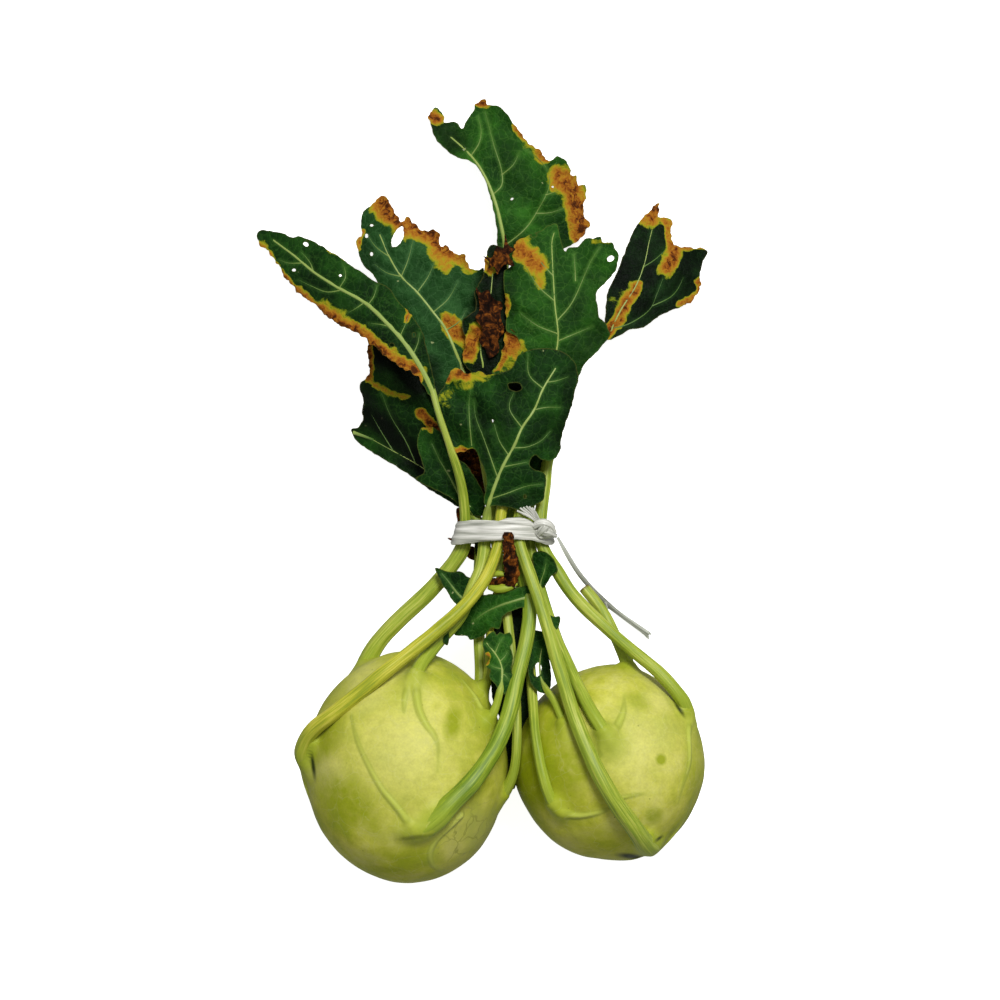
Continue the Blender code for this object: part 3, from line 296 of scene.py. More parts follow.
# A ridge is its radius at both ends and its route, on the skin where no height is given.
LEFT_RIDGES = [((1.5, 0.2),
        [(-27, -75), (-26.6, -80), (-25.4, -87), (-22.6, -93), (-19.6, -97), (-18, -102.4), (-18.4, -111)]),
    ((1.1, 0.2), [(-29, -76), (-31, -82), (-31.4, -88)]),
    ((1.7, 0.3),
        [(-20, -132.6), (-26.2, -134), (-30, -131), (-34.4, -125.2), (-40, -118.4), (-44.8, -110),
            (-49.6, -99.6), (-52, -90)]),
    ((1.4, 0.3), [(-9, -129), (-14, -134), (-18.8, -138.8), (-21.2, -144.4), (-20, -149), (-16.5, -151.4)]),
    ((1.8, 0.5), [(-69, -108, 43), (-70.5, -116, 41.5), (-67.4, -125.2, 42), (-60, -137.6, 43)]),
    ((1.5, 0.3), [(2.4, -93), (-0.4, -87.6), (-3.6, -81.5), (-8.4, -75.6)]),
    ((1.6, 0.5), [(-54, -79, 22), (-61, -92, 19), (-63, -108, 16), (-58, -124, 15)])]
RIGHT_RIDGES = [((1.5, 0.4), [(31.9, -128), (37.9, -129.2), (45.2, -128), (50, -126)]),
    ((1.8, 0.5), [(67.5, -143, 43), (75, -137.5, 43), (81, -127, 46), (84, -115, 50)]),
    ((1.5, 0.3), [(50, -99), (53.6, -93.2), (55.8, -88), (56.2, -82)]),
    ((1.2, 0.2), [(50, -98), (47.4, -101.2), (47, -105), (43.6, -107)]),
    ((1.5, 0.3), [(81, -89, 48), (81.8, -98.8), (81.8, -108), (79, -117), (77, -124)]),
    ((1.6, 0.5), [(67.5, -143, 42), (59, -146.5, 37), (48, -146, 34), (38, -142.5, 33)]),
    ((0.5, 0.1), [(54.8, -122), (61, -120.6), (68.8, -119.6)])]
LEFT_ROOT, RIGHT_ROOT = (-30.0, -148.5, 14.0), (50.0, -140.0, 13.0)

# Marks on the skin seen from above: (x, y, half width, half height, tilt in degrees, strength).
LEFT_PATCHES = [(-12, -92.4, 3.2, 6.4, -12, 0.9), (-54, -124, 15, 9, -40, 0.75), (-36, -148, 16, 7, 0, 0.5),
    (-64, -100, 6, 12, -30, 0.6), (-47, -131, 14, 4, -48, 0.5), (-58, -82, 8, 4, 40, 0.35),
    (4, -92, 5, 12, -10, 0.45)]
# The last mark on the right stem is painted shade, on its side that faces the left stem.
RIGHT_PATCHES_AND_SHADE = [(70.8, -106.8, 1.9, 2.1, 0, 1.0), (68, -129.2, 3.4, 3.2, 20, 0.8),
    (34, -111, 9, 12, 0, 0.7), (50, -138, 14, 6, 0, 0.4), (84, -112, 4, 12, 5, 0.5),
    (62, -84, 6, 3, -30, 0.5), (20, -114, 6, 20, -12, 1.0)]

# The palest skin, its own waxy paleness with a painted highlight where the light falls, as (x, y, radius).
LEFT_CROWN_HIGHLIGHT = [(-31, -103, 26), (-46, -80, 13), (-60, -112, 9)]
RIGHT_CROWN_HIGHLIGHT = [(62, -101, 20), (70, -84, 9)]

# Stretched and crackled skin, placed as the marks are.
LEFT_SCARS = [(-6.4, -136.8, 14, 8, 50, 1.0)]
RIGHT_SCARS = [(34, -140, 7, 3, 20, 0.5)]

# Painted shade in the gaps under the feet, placed as the marks are.
LEFT_CREVICE_SHADE = [(-67.8, -109.3, 0.8, 5.2, 8, 1.0), (-27, -137.6, 6, 0.8, 8, 0.5)]
RIGHT_CREVICE_SHADE = [(78.2, -86.8, 0.7, 3.6, 34, 1.0), (70.2, -138.6, 1.8, 0.6, 35, 0.9),
    (59, -146, 5, 1.2, -8, 1.0)]


def ball_scale(direction, centre):
    """How far the stem departs from an ellipsoid in this direction: soft, uneven bulges."""
    return 1.0 + 0.035 * noise.noise(Vector(direction) * 1.3 + Vector(centre) * 0.1)


def ball_top(centre, half, x, y):
    """The height of the stem's upper side over a place in the plan."""
    u, v = (x - centre[0]) / half[0], (y - centre[1]) / half[1]
    spare = math.sqrt(max(0.0, 1 - u * u - v * v))
    if spare == 0:
        return centre[2]
    return centre[2] + half[2] * spare * ball_scale((u, v, spare), centre)


def distance_to_route(points, route):
    """How far points are from a tapering route of (x, y, z, radius), less its radius there."""
    nearest = np.full(len(points), 1e9)
    for start, end in zip(route[:-1], route[1:]):
        run = end[:3] - start[:3]
        t = np.clip((points - start[:3]) @ run / (run @ run), 0, 1)
        away = np.linalg.norm(points - start[:3] - t[:, None] * run, axis=1)
        nearest = np.minimum(nearest, away - start[3] - (end[3] - start[3]) * t)
    return nearest


def smooth_min(a, b, width):
    """The lower of two distances, with the corner between them rounded over this width."""
    h = np.clip(0.5 + 0.5 * (b - a) / width, 0, 1)
    return b + (a - b) * h - width * h * (1 - h)


def spots(points, marks):
    """How strongly each point lies in the given marks, which fade out at their rims."""
    strength = np.zeros(len(points))
    for x, y, half_wide, half_high, tilt_deg, amount in marks:
        tilt = math.radians(tilt_deg)
        u = (points[:, 0] - x) * math.cos(tilt) + (points[:, 1] - y) * math.sin(tilt)
        v = (points[:, 1] - y) * math.cos(tilt) - (points[:, 0] - x) * math.sin(tilt)
        reach = np.sqrt((u / half_wide) ** 2 + (v / half_high) ** 2)
        upper = np.clip((points[:, 2] - 20) / 20, 0, 1)
        strength = np.maximum(strength, amount * np.clip(1.5 - reach, 0, 1) * upper)
    return strength


def sunk(route, centre):
    """The stalk's route with its foot pressed into its stem, so that it swells out of the skin."""
    first, second = np.array(route[0]), np.array(route[1])
    radius = first[3]
    inward = np.array(centre) - first[:3]
    inward /= np.linalg.norm(inward)
    back = (first[:3] - second[:3]) / np.linalg.norm(first[:3] - second[:3])
    start = first[:3] + radius * (1.9 * inward + 0.5 * back)
    foot = first[:3] + 0.5 * radius * inward
    return [(*start, 0.8 * radius), (*foot, radius), *route[1:]]


def swollen_stem(name, centre, half, ridges, feet, root, marks, scars, crevice_shades, crown):
    """A ball whose skin is drawn out over its ridges, the stalks' feet and the root's stub."""
    ball = bmesh.new()
    bmesh.ops.create_icosphere(ball, subdivisions=STEM_SPHERE_LEVEL, radius=1.0)
    directions = np.array([v.co for v in ball.verts]) + (0, 0, UPPER_SIDE_FINER)
    directions /= np.linalg.norm(directions, axis=1)[:, None]
    faces = [tuple(v.index for v in f.verts) for f in ball.faces]
    ball.free()
    scale = np.array([ball_scale(d, centre) for d in directions])
    skin = np.array(centre) + directions * np.array(half) * scale[:, None]
    outward = directions / np.array(half)
    outward /= np.linalg.norm(outward, axis=1)[:, None]
    skin += outward * (0.35 * wobble(skin, 17) + 0.12 * wobble(skin, 5))[:, None]
    ridge_routes = []
    for (start, end), route in ridges:
        laid = []
        for k, at in enumerate(route):
            z = at[2] if len(at) > 2 else ball_top(centre, half, *at[:2])
            share = k / (len(route) - 1)
            laid.append((at[0], at[1], z - 0.2 - 0.9 * share**2, start + (end - start) * share))
        ridge_routes.append(even_steps(smooth_line(laid), ROUTE_STEP))
    foot_routes = []
    for route in feet.values():
        swell = [(x, y, z, r + 0.6 - 0.28 * k) for k, (x, y, z, r) in enumerate(sunk(route, centre))]
        foot_routes.append(even_steps(smooth_line(swell), ROUTE_STEP))
    x, y, z = root
    root_route = np.array([(x, y + 8, z + 6, 6.5), (x, y, z, 6.0), (x, y - 1.6, z - 1.2, 4.6)])
    height = np.full(len(skin), SKIN_REACH)
    for _ in range(SKIN_ROUNDS):
        at = skin + outward * height[:, None]
        to_ridge = np.min([distance_to_route(at, route) for route in ridge_routes], axis=0)
        to_foot = np.min([distance_to_route(at, route) for route in foot_routes], axis=0)
        to_root = distance_to_route(at, root_route)
        rounded = smooth_min(height, np.minimum(to_ridge, to_root), RIDGE_FILLET)
        height -= SKIN_STEP * smooth_min(rounded, to_foot, FOOT_FILLET)
    points = skin + outward * height[:, None]
    points[:, 2] = np.maximum(points[:, 2], 0)
    # Painted highlight: the skin is painted paler over the lit tops, on top of its own waxy paleness.
    pale = [np.exp(-((points[:, 0] - x) ** 2 + (points[:, 1] - y) ** 2) / r**2) for x, y, r in crown]
    # Painted light and shade: the ridges are painted paler, partly as a highlight, and a crease beside each
    # is painted dark as shade.
    attributes = {"ridge": np.exp(-np.clip(to_ridge, 0, None) / 0.6),
        "crease": 0.32 * np.exp(-(((to_ridge - 0.5) / 0.3) ** 2)),
        "foot": 0.8 * np.exp(-np.clip(to_foot, 0, None) / 2.6),
        "cork": np.clip(1.4 - np.linalg.norm(points - np.array(root), axis=1) / 8, 0, 1),
        "patch": spots(points, marks), "scar": spots(points, scars), "crevice": spots(points, crevice_shades),
        # Painted shade: the outer skin is painted darker green the lower it lies on the stem's sides.
        "crown": 0.78 * np.max(pale, axis=0), "outer": 0.85 * np.clip((58 - points[:, 2]) / 44, 0, 1)}
    return piece(name + "_skin", [(points, faces, attributes)], SKIN, name)


def waxy_skin(name):
    """Living skin under a thin wax: pale yellow green, softly mottled, with a dull gloss."""
    made, tree, place = start_material(name)
    names = ("ridge", "crease", "foot", "cork", "patch", "scar", "crevice", "crown", "outer")
    ridge, crease, foot, cork, patch, scar, crevice, crown, outer = [
        add_node(tree, "Attribute", {"attribute_name": key}).outputs["Fac"] for key in names]
    # Clouds of paler and greener skin are 15 to 30 mm across.
    clouds = add_node(tree, "TexNoise", {"Scale": 1 / 20, "Detail": 5.0, "Roughness": 0.62},
        {"Vector": place})
    stops = [(0.34, "#98A51A"), (0.46, "#AEB32A"), (0.56, "#C2C248"), (0.68, "#CFCD68")]
    colour = add_node(tree, "ValToRGB", {"stops": stops}, {"Fac": clouds})
    # The greener marks fray over 3 mm at their edges, and the grains of wax are 1 mm across.
    fray = add_node(tree, "TexNoise", {"Scale": 1 / 3, "Detail": 4.0}, {"Vector": place})
    frayed = add_node(tree, "Math", {"operation": "MULTIPLY"}, {0: patch, 1: fray})
    grains = add_node(tree, "TexNoise", {"Scale": 1 / 0.9, "Detail": 3.0}, {"Vector": place})
    mottle = add_node(tree, "Math", {"operation": "MULTIPLY_ADD", 1: 1.2}, {0: fray, 2: grains})
    # Crackle where the skin has stretched: lines under half a millimetre wide, 11 mm apart.
    bend = add_node(tree, "TexNoise", {"Scale": 1 / 6, "Detail": 2.0}, {"Vector": place})
    bent = add_node(tree, "VectorMath", {"operation": "MULTIPLY_ADD", 1: (6.0, 6.0, 6.0)},
        {0: bend.outputs["Color"], 2: place})
    cracks = add_node(tree, "TexVoronoi", {"feature": "DISTANCE_TO_EDGE", "Scale": 1 / 11},
        {"Vector": bent})
    # Brown freckles up to 0.8 mm across, 7 mm apart.
    freckles = add_node(tree, "TexVoronoi", {"feature": "F1", "Scale": 1 / 7}, {"Vector": place})
    # Each pattern from its low to its high value becomes an amount that runs from start to end.
    ranges = [(frayed, 0.05, 0.45, 0.0, 0.85), (mottle, 0.8, 1.4, 0.9, 1.08), (cracks, 0.0, 0.02, 0.2, 0.0),
        (cracks, 0.0, 0.03, 0.7, 0.0), (freckles, 0.03, 0.06, 0.6, 0.0), (fray, 0.3, 0.7, 0.4, 0.56)]
    marked_and_shaded, grain_tone, crack, scar_crack, freckle, gloss = [
        add_node(tree, "MapRange", {"From Min": low, "From Max": high, "To Min": start, "To Max": end},
            {"Value": source}) for source, low, high, start, end in ranges]
    # Where a leaf broke off the skin is tan, and its crackle is darker and deeper.
    tan = add_node(tree, "Math", {"operation": "MULTIPLY", 1: 0.5}, {0: scar})
    dark_crack = add_node(tree, "Math", {"operation": "MULTIPLY"}, {0: scar_crack, 1: scar})
    # The palest skin on top is waxy skin with a painted highlight, the lower sides are painted darker
    # green as shade, and the marks are greener skin, the last right one painted shade.
    for amount, code in ((crown, "#D3D074"), (outer, "#86940C"), (marked_and_shaded, "#8E9A0C")):
        colour = add_node(tree, "Mix", {"data_type": "RGBA", 7: srgb(code)}, {0: amount, 6: colour})
    colour = add_node(tree, "Mix", {"data_type": "RGBA", "blend_type": "MULTIPLY", 0: 1.0},
        {6: colour, 7: grain_tone})
    # Ridges are pale, partly as a painted highlight, beside a crease painted dark as shade; the root
    # is corky, and the gaps under the feet are painted dark as shade.
    layers = [(ridge, "#B9C252"), (crease, "#66740E"), (foot, "#98A92C"), (crack, "#CFCF88"),
        (tan, "#B9B765"), (dark_crack, "#7F8228"), (freckle, "#6E7324"), (cork, "#8C7448"),
        (crevice, "#2F3A08")]
    for amount, code in layers:
        colour = add_node(tree, "Mix", {"data_type": "RGBA", 7: srgb(code)}, {0: amount, 6: colour})
    relief = add_node(tree, "Math", {"operation": "SUBTRACT"}, {0: grains, 1: crack})
    bump = add_node(tree, "Bump", {"Strength": 0.14, "Distance": 0.12 * MM}, {"Height": relief})
    glow = {"Subsurface Weight": 0.12, "Subsurface Scale": 2.5 * MM, "Subsurface Radius": (1.0, 1.0, 0.35)}
    shader = add_node(tree, "BsdfPrincipled", {"Specular IOR Level": 0.14, **glow},
        {"Base Color": colour, "Roughness": gloss, "Normal": bump})
    add_node(tree, "OutputMaterial", links={"Surface": shader})
    return made


SKIN = waxy_skin("waxy_stem_skin")
swollen_stem("bulb_left", LEFT_CENTRE, LEFT_HALF, LEFT_RIDGES, LEFT_FEET, LEFT_ROOT, LEFT_PATCHES,
    LEFT_SCARS, LEFT_CREVICE_SHADE, LEFT_CROWN_HIGHLIGHT)
swollen_stem("bulb_right", RIGHT_CENTRE, RIGHT_HALF, RIGHT_RIDGES, RIGHT_FEET, RIGHT_ROOT, RIGHT_PATCHES_AND_SHADE,
    RIGHT_SCARS, RIGHT_CREVICE_SHADE, RIGHT_CROWN_HIGHLIGHT)
FEET = {node: sunk(route, LEFT_CENTRE) for node, route in LEFT_FEET.items()}
FEET.update({node: sunk(route, RIGHT_CENTRE) for node, route in RIGHT_FEET.items()})


# Leaf stalks
# Juicy round stalks, ribbed lengthwise by their fibres. Each grows out of a stem's skin, thins
# towards the tie and runs on into its blade as the pale midrib.
STALK_SIDES = 36
STALK_STEP = 1.3


def stalk_part(route, pale_from=1.0, pale_to=2.0, cut_end=False):
    """A ribbed stalk whose colour turns from green to the midrib's pale over a part of its run."""
    line = even_steps(smooth_line(route), STALK_STEP)
    steps = np.linspace(0, 1, len(line))
    turn = np.arange(STALK_SIDES) * 2 * math.pi / STALK_SIDES

    def section(share):
        radius = np.interp(share, steps, line[:, 3])
        ribbed = radius * (1 + 0.035 * np.cos(7 * turn + 2 * share) + 0.015 * np.cos(12 * turn - 3 * share))
        return np.column_stack([ribbed * np.cos(turn), ribbed * np.sin(turn)])

    points, faces, share = sweep(line, section, twist=0.5)
    run = share * np.linalg.norm(np.diff(line[:, :3], axis=0), axis=1).sum()
    radius = np.interp(share, steps, line[:, 3])
    around = np.tile(turn, len(line))
    knots = 0.02 * np.array([noise.noise(Vector(p) / 9) for p in points])
    centre = np.repeat(line[:, :3], STALK_SIDES, axis=0)
    points = centre + (points - centre) * (1 + 4 * knots)[:, None]
    attributes = {
        "grain": np.column_stack([radius * np.cos(around), radius * np.sin(around), run / FIBRE_DRAW]),
        "pale": np.clip((share - pale_from) / max(pale_to - pale_from, 1e-6), 0, 1),
        "foot": np.clip(1.35 - run / 26, 0, 1), "cut": (share > 0.999) * float(cut_end),
        "fade": np.zeros(len(share))}
    return points, faces, attributes


def fibrous_stalk(name, young, ripe, shade):
    """A leaf stalk's skin: waxy yellow green, streaked by fibres, with a soft gloss."""
    made, tree, place = start_material(name)
    grain = add_node(tree, "Attribute", {"attribute_name": "grain"}).outputs["Vector"]
    foot, pale, fade, cut = [add_node(tree, "Attribute", {"attribute_name": key}).outputs["Fac"]
        for key in ("foot", "pale", "fade", "cut")]
    # Fibres are about 0.6 mm apart, and the skin changes tone every 25 mm or so.
    fibres = add_node(tree, "TexNoise", {"Scale": 1 / 0.6, "Detail": 4.0, "Roughness": 0.6},
        {"Vector": grain})
    clouds = add_node(tree, "TexNoise", {"Scale": 1 / 26, "Detail": 2.0}, {"Vector": place})
    cloud_tone = add_node(tree, "MapRange",
        {"From Min": 0.3, "From Max": 0.7, "To Min": 0.1, "To Max": 0.24}, {"Value": clouds})
    tone = add_node(tree, "Math", {"operation": "MULTIPLY_ADD", 1: 0.86}, {0: fibres, 2: cloud_tone})
    colour = add_node(tree, "ValToRGB", {"stops": [(0.48, shade), (0.6, young), (0.72, ripe)]},
        {"Fac": tone})
    # Greener at the foot, pale as a midrib, as green as the blade where a side vein ends, brown if cut.
    for amount, code in ((foot, "#9BAC30"), (pale, "#96AA58"), (fade, "#33601F"), (cut, "#5E4424")):
        colour = add_node(tree, "Mix", {"data_type": "RGBA", 7: srgb(code)}, {0: amount, 6: colour})
    bump = add_node(tree, "Bump", {"Strength": 0.45, "Distance": 0.15 * MM}, {"Height": fibres})
    glow = {"Subsurface Weight": 0.12, "Subsurface Scale": 1.5 * MM, "Subsurface Radius": (1.0, 1.0, 0.35)}
    shader = add_node(tree, "BsdfPrincipled", {"Specular IOR Level": 0.3, "Roughness": 0.45, **glow},
        {"Base Color": colour, "Normal": bump})
    add_node(tree, "OutputMaterial", links={"Surface": shader})
    return made


GREEN_STALK = fibrous_stalk("green_stalk_skin", "#9CAD34", "#B9C054", "#7F962A")
DEEP_STALK = fibrous_stalk("deep_green_stalk_skin", "#87A028", "#A6B440", "#688420")
YELLOW_STALK = fibrous_stalk("ripening_stalk_skin", "#B2B42E", "#CCC64C", "#8E9C26")

TRIMMED_FRONT = [(59.2, -132.8, 68.5, 3.6), (48, -116, 76, 3.2), (37.6, -93.2, 71.5, 2.9),
    (31.2, -73.2, 62.5, 2.7), (25.6, -54, 54, 2.5), (19.4, -35.2, 47.8, 2.4), (14.8, -21.6, 44.6, 2.3),
    (14, -14, 43.8, 2.3), (15, -7, 42.3, 2.3), (16.5, 6, 40.2, 2.3)]
front_stalk = stalk_part(FEET["stalk_trimmed_front"] + TRIMMED_FRONT, cut_end=True)
piece("stalk_trimmed_front_skin", [front_stalk], GREEN_STALK, "stalk_trimmed_front")

STUB = [(53.6, -59.6, 38.5, 2.3), (48, -48.4, 36, 2.2), (40.4, -38.8, 34, 2.2)]
stub = stalk_part(FEET["stalk_stub"] + STUB, cut_end=True)
piece("stalk_stub_skin", [stub], GREEN_STALK, "stalk_stub")


# Leaf blades
# Leathery blades, raised between their veins and waved at the rim. The tips and rims have dried:
# first yellow, then orange brown and crumpled. Insects have eaten a few holes.
BLADE_THICKNESS = 0.45
BLADE_GRID = 0.9
BLADE_EDGE_STEP = 0.7
RIB_VALLEY_DEPTH, RIB_VALLEY_WIDTH = 1.0, 4.0
VEIN_VALLEY_DEPTH, VEIN_VALLEY_WIDTH = 0.45, 1.8


def relief(heights):
    """A smooth height over the plan (a thin plate spline) through points of (x, y, height)."""
    known = np.array(heights, float)
    places = known[:, :2]
    n = len(known)

    def bend(at):
        square = ((at[:, None] - places[None]) ** 2).sum(axis=2)
        return 0.5 * square * np.log(square + 1e-9)

    system = np.zeros((n + 3, n + 3))
    system[:n, :n] = bend(places)
    system[:n, n] = system[n, :n] = 1
    system[:n, n + 1 :] = places
    system[n + 1 :, :n] = places.T
    weight = np.linalg.solve(system, np.concatenate([known[:, 2], np.zeros(3)]))
    return lambda at: bend(at) @ weight[:n] + weight[n] + at @ weight[n + 1 :]


def distance_to_line(at, line):
    """How far each point of the plan is from a polyline."""
    start, run = line[:-1], np.diff(line, axis=0)
    t = ((at[:, None] - start) * run).sum(axis=2) / (run**2).sum(axis=1)
    nearest = start + np.clip(t, 0, 1)[..., None] * run
    return np.linalg.norm(at[:, None] - nearest, axis=2).min(axis=1)


def inside(at, ring):
    """Which points of the plan lie inside a closed outline."""
    x, y = at[:, :1], at[:, 1:2]
    a, b = ring, np.roll(ring, -1, axis=0)
    spans = (a[:, 1] > y) != (b[:, 1] > y)
    with np.errstate(divide="ignore", invalid="ignore"):
        crossing = (b[:, 0] - a[:, 0]) * (y - a[:, 1]) / (b[:, 1] - a[:, 1]) + a[:, 0]
    return (spans & (x < crossing)).sum(axis=1) % 2 == 1


def blade_surface(rib, heights, wave, veins):
    """The blade's height over the plan: its lie, its waves, and valleys where its veins run."""
    base = relief(heights)
    rib_line = smooth_line([p[:2] for p in rib])
    vein_lines = [smooth_line(vein) for vein in veins]
    amplitude, length, phase = wave

    def height(at):
        away = distance_to_line(at, rib_line)
        lie = base(at) - RIB_VALLEY_DEPTH * np.exp(-away / RIB_VALLEY_WIDTH)
        ripple = np.sin(2 * np.pi * (at[:, 0] * 0.8 + at[:, 1]) / length + phase)
        lie += amplitude * np.clip(away / 15, 0, 1.3) ** 1.5 * ripple
        for line in vein_lines:
            lie -= VEIN_VALLEY_DEPTH * np.exp(-((distance_to_line(at, line) / VEIN_VALLEY_WIDTH) ** 2))
        return lie + 0.45 * wobble(at, 9) + 0.25 * wobble(at, 4)

    return height


def hole(centre, half_long, half_short, tilt_deg=0.0):
    """The ragged outline of a hole eaten through a blade."""
    tilt, count = math.radians(tilt_deg), max(8, round(8 * half_long))
    ring = []
    for k in range(count):
        turn = 2 * math.pi * k / count
        nibble = 1 + 0.22 * noise.noise(Vector((3 * math.cos(turn), 3 * math.sin(turn), centre[0])))
        u, v = half_long * math.cos(turn) * nibble, half_short * math.sin(turn) * nibble
        x = centre[0] + u * math.cos(tilt) - v * math.sin(tilt)
        ring.append((x, centre[1] + u * math.sin(tilt) + v * math.cos(tilt)))
    return np.array(ring)


def dry_and_shade_strength(at, dry):
    """How dry the blade is, from 0 to 1, and also how deep its painted shade is when called with shade
    lines: each patch is (its line, its half width, its peak).
    """
    strength = np.zeros(len(at))
    wander = np.column_stack([1.6 * wobble(at, 6, s) + 0.9 * wobble(at, 2.4, s) for s in (11.0, 23.0)])
    for line, half_width, peak in dry:
        away = distance_to_line(at + wander, smooth_line(line))
        strength = np.maximum(strength, peak * np.clip(1.25 - away / half_width, 0, 1))
    return strength


def blade_part(outline, surface, holes=(), dry=(), veins=(), crumple=1.0, shades=()):
    """A thin blade: the outline, nibbled and toothed, filled with triangles on both faces."""
    ring = smooth_line(outline, closed=True, samples=8)
    ring = even_steps(np.vstack([ring, ring[:1]]), BLADE_EDGE_STEP)[:-1]
    along = np.roll(ring, -1, axis=0) - np.roll(ring, 1, axis=0)
    sideways = np.column_stack([along[:, 1], -along[:, 0]]) / np.linalg.norm(along, axis=1)[:, None]
    ragged = 0.3 + 0.7 * dry_and_shade_strength(ring, dry)
    ring = ring + sideways * (ragged * (wobble(ring, 2.6) + 0.6 * wobble(ring, 1.2)))[:, None]
    rings = [ring, *holes]
    closed_rings = [np.vstack([one, one[:1]]) for one in rings]
    low, high = ring.min(axis=0), ring.max(axis=0)
    rows = []
    for j, y in enumerate(np.arange(low[1], high[1], BLADE_GRID * 0.87)):
        across = np.arange(low[0] + (j % 2) * BLADE_GRID / 2, high[0], BLADE_GRID)
        rows.append(np.column_stack([across, np.full(len(across), y)]))
    fill = np.vstack(rows)
    keep = inside(fill, ring)
    for one in closed_rings:
        keep &= distance_to_line(fill, one) > 0.5 * BLADE_GRID
    for one in holes:
        keep &= ~inside(fill, one)
    edges, start = [], 0
    for one in rings:
        n = len(one)
        edges += [(start + k, start + (k + 1) % n) for k in range(n)]
        start += n
    places = [Vector(p) for p in np.vstack([*rings, fill[keep]])]
    flat = geometry.delaunay_2d_cdt(places, edges, [], 0, 1e-5)
    plan, triangles = np.array([tuple(v) for v in flat[0]]), np.array(flat[2])
    middle = plan[triangles].mean(axis=1)
    wanted = inside(middle, ring)
    for one in holes:
        wanted &= ~inside(middle, one)
    used, triangles = np.unique(triangles[wanted], return_inverse=True)
    plan, triangles = plan[used], triangles.reshape(-1, 3)
    rim = np.min([distance_to_line(plan, one) for one in closed_rings], axis=0)
    parched = dry_and_shade_strength(plan, dry)
    lift = crumple * (0.35 * np.exp(-rim / 3) + 0.9 * parched)
    lift *= wobble(plan, 5, 3.0) + 0.5 * wobble(plan, 2.2, 7.0)
    under = np.maximum(surface(plan) + lift - BLADE_THICKNESS / 2, 0.02)
    top = np.column_stack([plan, under + BLADE_THICKNESS])
    count = len(plan)
    points = np.vstack([top, np.column_stack([plan, under])])
    faces = [tuple(t) for t in triangles] + [tuple(t[::-1] + count) for t in triangles]
    pairs = {(t[k], t[(k + 1) % 3]) for t in triangles for k in range(3)}
    for one, two in sorted(pairs):
        if (two, one) not in pairs:
            faces.append((one, one + count, two + count))
            faces.append((one, two + count, two))
    near = np.full(count, 99.0)
    for vein in veins:
        near = np.minimum(near, distance_to_line(plan, smooth_line(vein)))
    # Painted shade: the blade is painted nearly black along its shade lines, where it lies in shadow.
    spread = {"dry": parched, "shade": 0.95 * dry_and_shade_strength(plan, shades), "rim": rim, "near_vein": near}
    return points, faces, {key: np.tile(values, 2) for key, values in spread.items()}


def vein_part(plan_points, surface, start_radius, end_radius, sink=0.3, fade=0.25):
    """A raised vein laid along the blade's upper face, thinning to its end."""
    plan = even_steps(smooth_line(plan_points), STALK_STEP)
    radius = np.linspace(start_radius, end_radius, len(plan))
    z = surface(plan) + BLADE_THICKNESS / 2 - sink * radius
    line = np.column_stack([plan, z, radius])
    turn = np.arange(10) * 2 * math.pi / 10
    shares = np.linspace(0, 1, len(line))

    def section(share):
        r = np.interp(share, shares, radius)
        return np.column_stack([r * np.cos(turn), 0.8 * r * np.sin(turn)])

    points, faces, share = sweep(line, section)
    r = np.interp(share, shares, radius)
    around = np.tile(turn, len(line))
    attributes = {"grain": np.column_stack([r * np.cos(around), r * np.sin(around), share * 3]),
        "pale": np.ones(len(points)), "foot": np.zeros(len(points)), "cut": np.zeros(len(points)),
        "fade": fade + (0.85 - fade) * share}
    return points, faces, attributes


